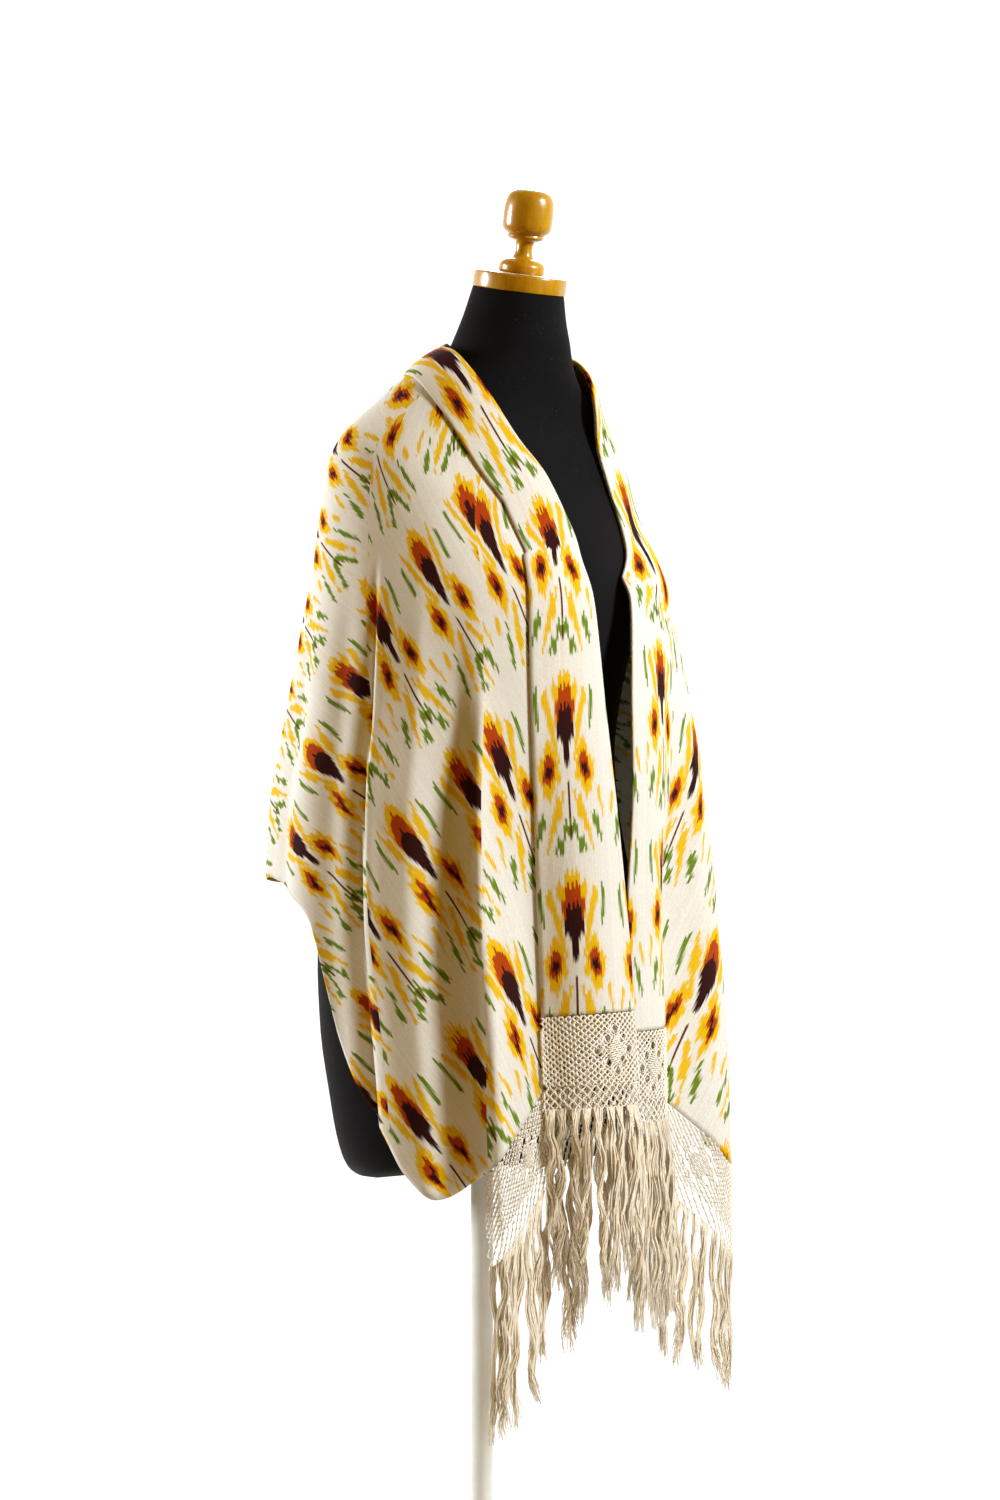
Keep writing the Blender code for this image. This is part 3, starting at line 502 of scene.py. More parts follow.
def cloth_grid(side, rows):
    """Levels and azimuths from the neck to the hem, with grid lines along the creases."""
    counts = PANEL_COLUMNS[side]
    table = np.array(PANEL_EDGES[side])
    knots = np.arange(len(counts) + 1)
    share = [np.linspace(i, i + 1, n, endpoint=False) for i, n in enumerate(counts)]
    share = np.concatenate(share + [[len(counts)]])
    reach = np.linspace(0.0, 1.0, rows)[:, None] ** ROWS_CROWD
    level = np.tile(reach * END_LEVEL, (1, len(share)))

    def azimuths(at):
        start = edge_azimuth(side, at)
        lines = [start]
        for i in range(1, len(counts)):
            crease = smooth(at, table[:, 0], table[:, i])
            lines.append(np.maximum(crease, start + (180.0 - start) * PANEL_SHARES[side][i]))
        lines.append(np.full_like(start, 180.0))
        low = np.minimum(share.astype(int), len(counts) - 1)
        stacked = np.stack(lines)
        column = np.arange(len(share))[None, :]
        row = np.arange(at.shape[0])[:, None]
        first = stacked[low[None, :], row, column]
        second = stacked[low[None, :] + 1, row, column]
        return first + (second - first) * (share - knots[low])[None, :]

    for _ in range(14):
        level = reach * end_level(side, azimuths(level[-1:]))
    return level, azimuths(level)


def linked_mesh(name, points, faces):
    mesh = bpy.data.meshes.new(name)
    mesh.from_pydata(points, [], faces)
    mesh.update()
    made = bpy.data.objects.new(name, mesh)
    bpy.context.scene.collection.objects.link(made)
    return made


def sheet_mesh(name, points, corners):
    """A mesh through a grid of points, with its place in the weave at each corner of each cell."""
    rows, columns = points.shape[:2]
    index = np.arange(rows * columns).reshape(rows, columns)
    cells = np.stack([index[:-1, :-1], index[:-1, 1:], index[1:, 1:], index[1:, :-1]], axis=-1)
    made = linked_mesh(name, points.reshape(-1, 3).tolist(), cells.reshape(-1, 4).tolist())
    layer = made.data.uv_layers.new(name="weave")
    layer.data.foreach_set("uv", corners.reshape(-1))
    made.data.update()
    return made


def corner_values(grid):
    """Values of a grid at the four corners of each of its cells, in the order that the cells have."""
    return np.stack([grid[:-1, :-1], grid[:-1, 1:], grid[1:, 1:], grid[1:, :-1]], axis=2)


def pick(piece):
    bpy.ops.object.select_all(action="DESELECT")
    piece.select_set(True)
    bpy.context.view_layer.objects.active = piece


def finish_sheet(piece):
    """Gives a cloth its thickness on the form's side and smooths it."""
    wall = piece.modifiers.new("thickness", "SOLIDIFY")
    wall.thickness = CLOTH_THICKNESS
    wall.offset = -1.0
    wall.use_even_offset = False
    pick(piece)
    bpy.ops.object.modifier_apply(modifier=wall.name)
    bpy.ops.object.shade_smooth()


# %% [markdown]
# ## The main width
#
# The main width of the shawl hangs from the neck, over both shoulders and across the back. It is one
# sheet, made from one grid that runs from the right front fold round the back to the left front fold.

# %% Main width
CLOTH_THICKNESS = 0.0008
# An estimated width.
halves = {}
for side in SIDES:
    level, azimuth = cloth_grid(side, CLOTH_ROWS)
    points = cloth_point(side, level, azimuth)
    points[:, :, 2] -= settled
    lays = np.zeros((points.shape[0] - 1, points.shape[1] - 1, 4, 2))
    first = 0
    for panel, count in zip(PANELS[side], PANEL_COLUMNS[side]):
        part = slice(first, first + count)
        whole = slice(first, first + count + 1)
        lays[:, part] = corner_values(weave_at(panel, azimuth[:, whole], points[:, whole, 2]))
        first += count
    halves[side] = (points, lays)
right_points, right_lays = halves["right"]
left_points, left_lays = halves["left"]
middle = (right_points[:, -1:] + left_points[:, -1:]) / 2
middle[:, :, 0] = 0.0
drape_points = np.concatenate([right_points[:, :-1], middle, left_points[:, -2::-1]], axis=1)
left_turned = left_lays[:, ::-1][:, :, [1, 0, 3, 2]]
drape = sheet_mesh("shawl_main_width", drape_points, np.concatenate([right_lays, left_turned], axis=1))
finish_sheet(drape)

# %% [markdown]
# ## The folded upper edge
#
# The upper edge of the shawl is turned outwards round the neck and down both fronts. It lies on the
# main width, so weft lines are walked square from the fold over the surface, lifted a few millimetres,
# and joined to the fold by a small roll. The selvedge lies closer, and casts a fine shadow.

# %% Folded edge
LAPEL_WIDTHS = (
    # height, width
    (0.55, 0.104), (0.66, 0.102), (0.85, 0.092), (0.98, 0.084), (1.09, 0.071), (1.20, 0.054), (1.30, 0.046),
)
LAPEL_AT_FOLD = 0.0034
LAPEL_AT_NAPE = 0.0023
LAPEL_BULGE = 0.0020
LAPEL_AT_SELVEDGE = 0.0026
NAPE_REACH = 0.060
# An estimated width too.
WALK_STEPS = 5
ROLL_ANGLES = (-90.0, -50.0, -10.0, 30.0, 65.0)
ROLL_ACROSS = (-0.008, -0.005, -0.004, -0.003, -0.002, -0.001)
UNDER_REACH, UNDER_DROP = 0.003, 0.0003
NAPE_MEETING = 0.30
AXIS_FROM_SELVEDGE = 0.035
LAPEL_REPEAT = 0.188
LAPEL_PHASES = {"right": 0.287, "left": 0.161}
TANGENT_WINDOW = 0.015


def folded_edge(side, below=0.0):
    """The fold from the middle of the back down to the weft end: level, azimuth, distance."""
    end = float(end_level(side, float(edge_azimuth(side, END_LEVEL)), below))
    behind = np.linspace(180.0, NAPE_AZIMUTH, 120)
    down = np.linspace(0.0, end, 500)[1:]
    level = np.concatenate([0 * behind, down])
    azimuth = np.concatenate([behind, edge_azimuth(side, down)])
    line = cloth_point(side, level, azimuth)
    return level, azimuth, distance_along(line), line


def points_along(line, along, at):
    return np.stack([np.interp(at, along, line[:, axis]) for axis in range(3)], axis=-1)


def walk(side, level, azimuth, heading, step, count):
    """Walks straight ahead over the cloth from each start and returns the levels and azimuths."""
    levels, azimuths = [level], [azimuth]
    for _ in range(count):
        along, round_it = slopes(side, level, azimuth)
        normal = np.cross(round_it, along)
        normal = normal / np.linalg.norm(normal, axis=-1, keepdims=True)
        heading = heading - (heading * normal).sum(-1, keepdims=True) * normal
        heading = heading / np.linalg.norm(heading, axis=-1, keepdims=True)
        ll, rr, lr = (along * along).sum(-1), (round_it * round_it).sum(-1), (along * round_it).sum(-1)
        hl, hr = (heading * along).sum(-1), (heading * round_it).sum(-1)
        det = ll * rr - lr * lr
        level = np.maximum(level + step * (hl * rr - hr * lr) / det, 0.0)
        azimuth = azimuth + step * (hr * ll - hl * lr) / det
        levels.append(level)
        azimuths.append(azimuth)
    return np.array(levels), np.array(azimuths)


def fold_strip(side, start, end, rows, columns, below=0.0):
    """Places, outward directions and distances of the strip beside the fold, a row per weft line."""
    level, azimuth, along, line = folded_edge(side, below)
    at = np.linspace(start, end, rows)
    first_level, first_azimuth = np.interp(at, along, level), np.interp(at, along, azimuth)
    before = np.clip(at - TANGENT_WINDOW, 0.0, along[-1])
    after = np.clip(at + TANGENT_WINDOW, 0.0, along[-1])
    tangent = points_along(line, along, after) - points_along(line, along, before)
    tangent[before <= 0.0] *= (1.0, 0.0, 1.0)
    normal = outward(side, first_level, first_azimuth)
    heading = np.cross(normal, tangent) * SIDES[side][0]
    heading = heading / np.linalg.norm(heading, axis=-1, keepdims=True)
    table = np.array(LAPEL_WIDTHS)
    fold = cloth_point(side, first_level, first_azimuth)
    width = smooth(fold[:, 2], table[:, 0], table[:, 1])
    steps = WALK_STEPS * (columns - 1)
    levels, azimuths = walk(side, first_level, first_azimuth, heading, width / steps, steps)
    levels, azimuths = levels[::WALK_STEPS].T, azimuths[::WALK_STEPS].T
    across = np.linspace(0.0, 1.0, columns)[None, :] * width[:, None]
    places = cloth_point(side, levels, azimuths)
    return places, outward(side, levels, azimuths), across, at, heading


def lapel_lift(at_fold, share):
    """How far the folded edge stands off the main width, from the fold over to the selvedge."""
    return at_fold + (LAPEL_AT_SELVEDGE - at_fold) * ease(share) + LAPEL_BULGE * np.sin(math.pi * share)


def lapel_half(side, rows, columns):
    """Points and places in the weave of one half of the folded edge, from the middle of the back."""
    length = folded_edge(side)[2][-1]
    places, normals, across, at, heading = fold_strip(side, 0.0, length, rows, columns)
    share = across / across[:, -1:]
    at_fold = np.interp(at, (0.0, NAPE_REACH), (LAPEL_AT_NAPE, LAPEL_AT_FOLD))[:, None]
    flat = places + normals * lapel_lift(at_fold, share)[:, :, None]
    fold, up, radius = places[:, 0], normals[:, 0], at_fold / 2
    under = fold + heading * UNDER_REACH - up * UNDER_DROP
    roll = [under] + [
        fold + up * radius + radius * (up * math.sin(math.radians(a)) - heading * math.cos(math.radians(a)))
        for a in ROLL_ANGLES
    ]
    points = np.concatenate([np.stack(roll, axis=1), flat], axis=1)
    past = np.array(ROLL_ACROSS)[None, :] + 0 * at[:, None]
    from_selvedge = across[:, -1:] - np.concatenate([past, across], axis=1)
    column = (from_selvedge - AXIS_FROM_SELVEDGE) / COLUMN_WIDTH
    # Both halves reach the middle of the back at the same place in the repeat, so the pattern meets.
    repeat = (LAPEL_PHASES[side] - (length - at)) / LAPEL_REPEAT
    wanted = math.floor(repeat[0]) + 0.5
    repeat = repeat + (wanted - repeat[0]) * ease(1.0 - at / NAPE_MEETING)
    lay = np.stack([column, np.repeat(repeat[:, None], column.shape[1], axis=1)], axis=-1)
    points[:, :, 2] -= settled
    return points, lay


LAPEL_ROWS = 190
LAPEL_COLUMNS = 17
right_points, right_lay = lapel_half("right", LAPEL_ROWS, LAPEL_COLUMNS)
left_points, left_lay = lapel_half("left", LAPEL_ROWS, LAPEL_COLUMNS)
middle = (right_points[:1] + left_points[:1]) / 2
middle[:, :, 0] = 0.0
lapel_points = np.concatenate([left_points[:0:-1], middle, right_points[1:]], axis=0)
lapel_lays = np.concatenate([corner_values(left_lay[::-1]), corner_values(right_lay)], axis=0)
lapel = sheet_mesh("shawl_folded_edge", lapel_points, lapel_lays)
finish_sheet(lapel)

# %% [markdown]
# ## The dyed pattern
#
# Each warp thread was tied and dyed before weaving, so every motif ends in a ragged comb where threads
# slipped along their length. The shader does the same: it reads the place in the weave, shifts it along
# the warp by a different amount for each thread and for each bundle of threads, and only then asks
# which motif is there. A motif is an outline, given as its half width at heights up the repeat.

# %% Shader helpers
def new_material(name):
    made = bpy.data.materials.new(name)
    made.use_nodes = True
    return made, made.node_tree, made.node_tree.nodes["Principled BSDF"]


def wire(tree, value, socket):
    if isinstance(value, bpy.types.NodeSocket):
        tree.links.new(value, socket)
    else:
        socket.default_value = value


def set_inputs(shader, settings):
    for key, value in settings.items():
        shader.inputs[key].default_value = value


def maths(tree, operation, *values):
    node = tree.nodes.new("ShaderNodeMath")
    node.operation = operation
    for socket, value in zip(node.inputs, values):
        wire(tree, value, socket)
    return node.outputs[0]


def ramp_between(tree, value, low, high, to_low=0.0, to_high=1.0, soft=False):
    node = tree.nodes.new("ShaderNodeMapRange")
    node.interpolation_type = "SMOOTHSTEP" if soft else "LINEAR"
    keys = ("Value", "From Min", "From Max", "To Min", "To Max")
    for key, item in zip(keys, (value, low, high, to_low, to_high)):
        wire(tree, item, node.inputs[key])
    return node.outputs[0]


def blended(tree, share, first, second, kind="MIX"):
    node = tree.nodes.new("ShaderNodeMix")
    node.data_type = "RGBA"
    node.blend_type = kind
    wire(tree, share, node.inputs[0])
    for socket, value in ((node.inputs[6], first), (node.inputs[7], second)):
        wire(tree, value if isinstance(value, bpy.types.NodeSocket) else (*value, 1.0), socket)
    return node.outputs[2]


def noise(tree, vector, scale, detail=2.0, roughness=0.5, dimensions="3D"):
    node = tree.nodes.new("ShaderNodeTexNoise")
    node.noise_dimensions = dimensions
    wire(tree, vector, node.inputs["W" if dimensions == "1D" else "Vector"])
    node.inputs["Scale"].default_value = scale
    node.inputs["Detail"].default_value = detail
    node.inputs["Roughness"].default_value = roughness
    return node.outputs[0]


def random_for(tree, number):
    """A steady random number from 0 to 1 for each whole number."""
    node = tree.nodes.new("ShaderNodeTexWhiteNoise")
    node.noise_dimensions = "1D"
    wire(tree, maths(tree, "FLOOR", number), node.inputs["W"])
    return node.outputs["Value"]


def bump(tree, height, strength, distance, under=None):
    node = tree.nodes.new("ShaderNodeBump")
    node.inputs["Strength"].default_value = strength
    node.inputs["Distance"].default_value = distance
    wire(tree, height, node.inputs["Height"])
    if under is not None:
        tree.links.new(under, node.inputs["Normal"])
    return node.outputs[0]


def place_on_piece(tree, upright=1.0):
    """The place on the piece, with heights scaled to draw a texture out along them."""
    place = tree.nodes.new("ShaderNodeTexCoord").outputs["Object"]
    mapping = tree.nodes.new("ShaderNodeMapping")
    mapping.inputs["Scale"].default_value = (1.0, 1.0, upright)
    tree.links.new(place, mapping.inputs["Vector"])
    return mapping.outputs[0]


print("helpers for materials ready")

# %% Motifs
# The chart of one repeat, in millimetres, drawn after the flattest motif in the photograph.
PITCH = 88.0
REPEAT = 202.0
BUNDLE = 2.1
TULIP_START = 44.0
WIDEST = 22.0
OUTSIDE = -3.0
CREAM = (0.81, 0.790, 0.755)
YELLOW = (0.80, 0.505, 0.002)
ORANGE = (0.44, 0.062, 0.002)
MAROON = (0.038, 0.0042, 0.0048)
GREEN = (0.155, 0.250, 0.004)
STEM = (0.110, 0.024, 0.009)
OUTLINES = (
    # middle, colour, (height down the repeat, half width)
    (0.0, YELLOW, (
        (-4, 0), (0, 3), (6, 6), (12, 10), (19, 15), (28, 15), (36, 13), (46, 11.5), (58, 8.5), (67, 3),
        (72, 0),
    )),
    (19.5, YELLOW, ((67, 0), (78, 5), (88, 9.5), (99, 12.5), (111, 9), (121, 5), (134, 0))),
    (0.0, ORANGE, ((13, 0), (20, 7), (30, 11), (40, 11.5), (50, 8), (60, 0))),
    (19.5, ORANGE, ((82, 0), (90, 5.5), (99, 7), (108, 5), (117, 0))),
    (0.0, MAROON, ((33, 0), (40, 6), (48, 10), (56, 10), (65, 7.5), (74, 5), (82, 3.2), (91, 2), (98, 0))),
    (19.5, MAROON, ((94, 0), (99, 4), (104, 4), (109, 0))),
)
STROKES = (
    # colour, half width, start and end as (across, down)
    (STEM, 1.2, (0, 109), (0, 175)),
    (YELLOW, 3.3, (25, 16), (9, 86)),
    (YELLOW, 3.8, (6.5, 121), (19, 170)),
    (YELLOW, 2.0, (33, 118), (39, 150)),
    (YELLOW, 1.8, (13, 146), (24, 186)),
    (GREEN, 2.3, (33, 18), (30, 60)),
    (GREEN, 2.8, (25, 140), (34, 177)),
    (GREEN, 3.2, (0, 150), (15.5, 190)),
)


def outline_width(tree, up, pairs):
    """Half width of a motif at a height, and a negative one above and below it."""
    node = tree.nodes.new("ShaderNodeFloatCurve")
    curve = node.mapping.curves[0]
    span = WIDEST - OUTSIDE
    stops = [(pairs[0][0] - 3.0, OUTSIDE)] + list(pairs) + [(pairs[-1][0] + 3.0, OUTSIDE)]
    stops = [(0.0, OUTSIDE)] + [s for s in stops if s[0] > 0.0] + [(REPEAT, OUTSIDE)]
    if pairs[0][0] <= 0.0:
        stops[0] = (0.0, 1.0)
    while len(curve.points) < len(stops):
        curve.points.new(0.5, 0.5)
    for point, (height, half) in zip(curve.points, stops):
        point.location = (height / REPEAT, (half - OUTSIDE) / span)
        point.handle_type = "VECTOR"
    node.mapping.update()
    wire(tree, maths(tree, "DIVIDE", up, REPEAT), node.inputs["Value"])
    return maths(tree, "MULTIPLY_ADD", node.outputs[0], span, OUTSIDE)


def stroke_width(tree, up, start, end, half):
    """Half width of a slanting stroke at a height, and a negative one beyond its ends."""
    middle, reach = (start[1] + end[1]) / 2, abs(end[1] - start[1]) / 2
    off = maths(tree, "ABSOLUTE", maths(tree, "SUBTRACT", up, middle))
    return ramp_between(tree, off, reach - 4.0, reach + 3.0, half, OUTSIDE)


print(len(OUTLINES), "outlined motifs and", len(STROKES), "strokes")

# %% Cloth material
def ikat_cloth():
    made, tree, shader = new_material("ikat_cloth")
    weave = tree.nodes.new("ShaderNodeUVMap")
    weave.uv_map = "weave"
    split = tree.nodes.new("ShaderNodeSeparateXYZ")
    tree.links.new(weave.outputs[0], split.inputs[0])
    column, repeat = split.outputs[0], split.outputs[1]

    # The warp is tied in folded bundles, so both halves of a motif have the same steps across.
    # Every bundle and thread slips its own way along the warp.
    wander = noise(tree, repeat, 1.7, 1.0, dimensions="1D")
    across = maths(tree, "ADD", column, maths(tree, "MULTIPLY_ADD", wander, 0.04, -0.02))
    turned = maths(tree, "ADD", across, 0.5)
    middle = maths(tree, "SUBTRACT", maths(tree, "FRACT", turned), 0.5)
    bundle = maths(tree, "ROUND", maths(tree, "MULTIPLY", maths(tree, "ABSOLUTE", middle), PITCH / BUNDLE))
    off_axis = maths(tree, "MULTIPLY", bundle, BUNDLE)
    number = maths(tree, "MULTIPLY_ADD", maths(tree, "FLOOR", turned), 50.0, maths(tree, "ADD", bundle, 0.5))
    slip = maths(tree, "MULTIPLY_ADD", random_for(tree, number), 11.0, -5.5)
    threes = random_for(tree, maths(tree, "DIVIDE", number, 3.0))
    slip = maths(tree, "ADD", slip, maths(tree, "MULTIPLY_ADD", threes, 5.0, -2.5))
    thread = random_for(tree, maths(tree, "MULTIPLY", column, 90.0))
    slip = maths(tree, "ADD", slip, maths(tree, "MULTIPLY_ADD", thread, 4.0, -2.0))

    steps = maths(tree, "MULTIPLY_ADD", repeat, REPEAT, TULIP_START)
    steps = maths(tree, "ADD", steps, slip)
    up = maths(tree, "MULTIPLY", maths(tree, "FRACT", maths(tree, "DIVIDE", steps, REPEAT)), REPEAT)

    grown = noise(tree, weave.outputs[0], 9.0, 2.0)
    grown = maths(tree, "MULTIPLY_ADD", grown, 3.0, -1.4)

    # The undyed ground is a little uneven: threads differ, and dye has crept into some.
    ground = maths(tree, "MULTIPLY_ADD", random_for(tree, maths(tree, "MULTIPLY", column, 152.0)), 0.10, 0.93)
    patches = noise(tree, place_on_piece(tree), 5.0, 3.0)
    ground = maths(tree, "MULTIPLY", ground, maths(tree, "MULTIPLY_ADD", patches, 0.14, 0.93))
    colour = blended(tree, 1.0, CREAM, ground, "MULTIPLY")
    for middle, tint, pairs in OUTLINES:
        width = maths(tree, "ADD", outline_width(tree, up, pairs), grown)
        away = maths(tree, "ABSOLUTE", maths(tree, "SUBTRACT", off_axis, middle)) if middle else off_axis
        room = maths(tree, "SUBTRACT", width, away)
        if tint is YELLOW:
            stain = ramp_between(tree, room, -7.0, 1.0, 0.0, 0.16)
            colour = blended(tree, stain, colour, YELLOW)
        colour = blended(tree, ramp_between(tree, room, -0.9, 1.3, 0.0, 1.0, soft=True), colour, tint)
    for tint, half, start, end in STROKES:
        width = stroke_width(tree, up, start, end, half)
        width = maths(tree, "ADD", width, maths(tree, "MULTIPLY", grown, 0.5))
        centre = ramp_between(tree, up, start[1], end[1], start[0], end[0])
        away = maths(tree, "ABSOLUTE", maths(tree, "SUBTRACT", off_axis, centre))
        room = maths(tree, "SUBTRACT", width, away)
        colour = blended(tree, ramp_between(tree, room, -0.8, 1.2, 0.0, 0.98, soft=True), colour, tint)

    # Weft shots cross the warp and show as fine pale lines through the dye.
    shots = maths(tree, "SINE", maths(tree, "MULTIPLY", repeat, 2 * math.pi * 180.0))
    ribs = maths(tree, "SINE", maths(tree, "MULTIPLY", column, 2 * math.pi * 76.0))
    worn = ramp_between(tree, shots, 0.2, 1.0, 0.0, 0.025)
    colour = blended(tree, worn, colour, CREAM)
    slub = noise(tree, weave.outputs[0], 60.0, 3.0, 0.7)
    shade = ramp_between(tree, slub, 0.3, 0.7, 0.90, 1.05)
    colour = blended(tree, 1.0, colour, shade, "MULTIPLY")
    tree.links.new(colour, shader.inputs["Base Color"])
    weave_height = maths(tree, "ADD", maths(tree, "MULTIPLY", shots, 0.5), maths(tree, "MULTIPLY", ribs, 0.7))
    weave_height = maths(tree, "ADD", weave_height, maths(tree, "MULTIPLY", slub, 3.0))
    fine = bump(tree, weave_height, 0.35, 0.0004)
    crumple = noise(tree, place_on_piece(tree), 22.0, 3.0, 0.55)
    tree.links.new(bump(tree, crumple, 0.35, 0.004, fine), shader.inputs["Normal"])
    set_inputs(shader, {
        "Roughness": 0.86, "Specular IOR Level": 0.12, "Sheen Weight": 0.05, "Sheen Roughness": 0.45,
    })
    return made


cloth = ikat_cloth()
for piece in (drape, lapel):
    piece.data.materials.append(cloth)
print("cloth shader nodes", len(cloth.node_tree.nodes))

# %% Cloth joins the frame
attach(drape, "root")
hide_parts("drape_right", "drape_left", "drape_back")
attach(lapel, "root")
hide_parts("lapel_right", "lapel_left", "lapel_back")

# %% [markdown]
# ## The knotted nets
#
# Under the last weft the warp ends are knotted together into a band. Each bundle of warp zigzags down
# and is tied to the neighbour on its left, then to the one on its right. So a band is a row of zigzag
# cords that touch at their knots. The upper part is tight, and the last five rows are open, of slightly
# thinner cords. Round each lozenge the cords are drawn apart into holes.

# %% Cords
NET_HEIGHT = 0.090
NET_GAP = 0.0006
TIGHT_TO = 0.067
TIGHT_PITCH = 0.0034
TIGHT_ROW = 0.0029
OPEN_PITCH = 0.0044
OPEN_ROW = 0.0046
NET_CORD = 0.00148
OPEN_CORD = 0.00120
HOLE_REACH = 0.0030
dice = np.random.default_rng(11)


def tubes(name, lines, radii, across, out, sides):
    """One mesh of closed tubes, one for each line of points."""
    angle = np.arange(sides) * 2 * math.pi / sides
    points, faces, first = [], [], 0
    for line, radius, side_on, away in zip(lines, radii, across, out):
        ring = side_on[:, None] * np.cos(angle)[None, :, None] + away[:, None] * np.sin(angle)[None, :, None]
        points.append((line[:, None] + radius[:, None, None] * ring).reshape(-1, 3))
        index = first + np.arange(len(line) * sides).reshape(len(line), sides)
        after = np.roll(index, -1, axis=1)
        faces += np.stack([index[:-1], index[1:], after[1:], after[:-1]], axis=-1).reshape(-1, 4).tolist()
        faces += [index[0].tolist(), index[-1, ::-1].tolist()]
        first += len(line) * sides
    made = linked_mesh(name, np.concatenate(points).tolist(), faces)
    pick(made)
    bpy.ops.object.mode_set(mode="EDIT")
    bpy.ops.mesh.select_all(action="SELECT")
    bpy.ops.mesh.normals_make_consistent(inside=False)
    bpy.ops.object.mode_set(mode="OBJECT")
    bpy.ops.object.shade_smooth()
    return made


def grid_lookup(grid, across, down):
    """Bilinear values of a grid at shares across and down, both from 0 to 1."""
    rows, columns = grid.shape[0] - 1, grid.shape[1] - 1
    c = np.clip(across, 0, 1) * columns
    r = np.clip(down, 0, 1) * rows
    c0, r0 = np.minimum(c.astype(int), columns - 1), np.minimum(r.astype(int), rows - 1)
    fc, fr = (c - c0)[..., None], (r - r0)[..., None]
    top = grid[r0, c0] * (1 - fc) + grid[r0, c0 + 1] * fc
    low = grid[r0 + 1, c0] * (1 - fc) + grid[r0 + 1, c0 + 1] * fc
    return top * (1 - fr) + low * fr


def drawn_apart(x, y, centres):
    """Moves cords away from the middle of each hole."""
    for hole_x, hole_y in centres:
        dx, dy = x - hole_x, y - hole_y
        far = np.maximum(np.hypot(dx, dy), 1e-5)
        push = HOLE_REACH * np.exp(-((far / (1.5 * HOLE_REACH)) ** 2))
        x, y = x + dx / far * push, y + dy / far * push
    return x, y


def zigzags(width, start, end, pitch, row, radius, centres, lean):
    """Zigzag cords between two heights of the band, in metres across and down, with their radii."""
    count = int(round(width / pitch))
    pitch = width / count
    spare = int(math.ceil(abs(lean) * NET_HEIGHT / pitch))
    rows = int(round((end - start) / row)) + 1
    down = np.linspace(start, end, 2 * rows - 1)
    number = np.arange(-spare, count + spare)[:, None]
    step = np.arange(2 * rows - 1)[None, :]
    swing = np.where((step // 2 + number) % 2 == 0, 1.0, -1.0)
    swing = np.where(step % 2 == 1, 0.0, swing) * pitch * 0.47
    x = (number + 0.5) * pitch + swing + dice.normal(0, pitch * 0.06, (len(number), 2 * rows - 1))
    y = np.tile(down, (len(number), 1)) + dice.normal(0, row * 0.07, (len(number), 2 * rows - 1))
    y[:, 0] = start
    x, y = drawn_apart(x, y, centres)
    thick = np.where(step % 2 == 0, 1.35, 0.95) * radius * (1 + 0 * x)
    return x, y, thick


print("cords ready")

# %% Net bands
LAPEL_LOZENGES = (0.30,)
DRAPE_LOZENGES = (0.28, 0.72)
HOLES_ROUND = (
    (-0.019, 0), (0.019, 0), (0, -0.020), (0, 0.020),
    (-0.010, -0.011), (0.010, -0.011), (-0.010, 0.011), (0.010, 0.011),
)
LEAN_SHARE = 0.75
LOZENGE_AT = 0.52
NET_INWARD = 0.0005
NET_MARGIN = 0.0003
NET_FLATNESS = 0.6
FLOAT_ROWS = 12
FLOAT_REACH = 0.0115
FLOAT_TAPER = 0.0150
FLOAT_HALF, FLOAT_LEAST = 0.0110, 0.001
FLOAT_SLANT = 0.0012
FLOAT_CORD = 0.00075
FLOAT_LIFT = 0.0011


def lapel_net_grid(side):
    end = folded_edge(side)[2][-1]
    far = folded_edge(side, NET_HEIGHT)[2][-1]
    places, normals, across, *_ = fold_strip(side, end + NET_GAP, far, 40, 30, NET_HEIGHT)
    share = across / across[:, -1:]
    points = places + normals * lapel_lift(LAPEL_AT_FOLD, share)[:, :, None]
    points[:, :, 2] -= settled
    return points, normals


def drape_net_grid(side):
    first = float(edge_azimuth(side, END_LEVEL))
    azimuth = np.linspace(first, SIDES[side][4], 60)[None, :]
    drop = np.linspace(NET_GAP, NET_HEIGHT, 40)[:, None]
    level = end_level(side, azimuth + 0 * drop, drop + 0 * azimuth)
    normals = outward(side, level, azimuth + 0 * level)
    points = cloth_point(side, level, azimuth) - normals * NET_INWARD
    points[:, :, 2] -= settled
    return points, normals


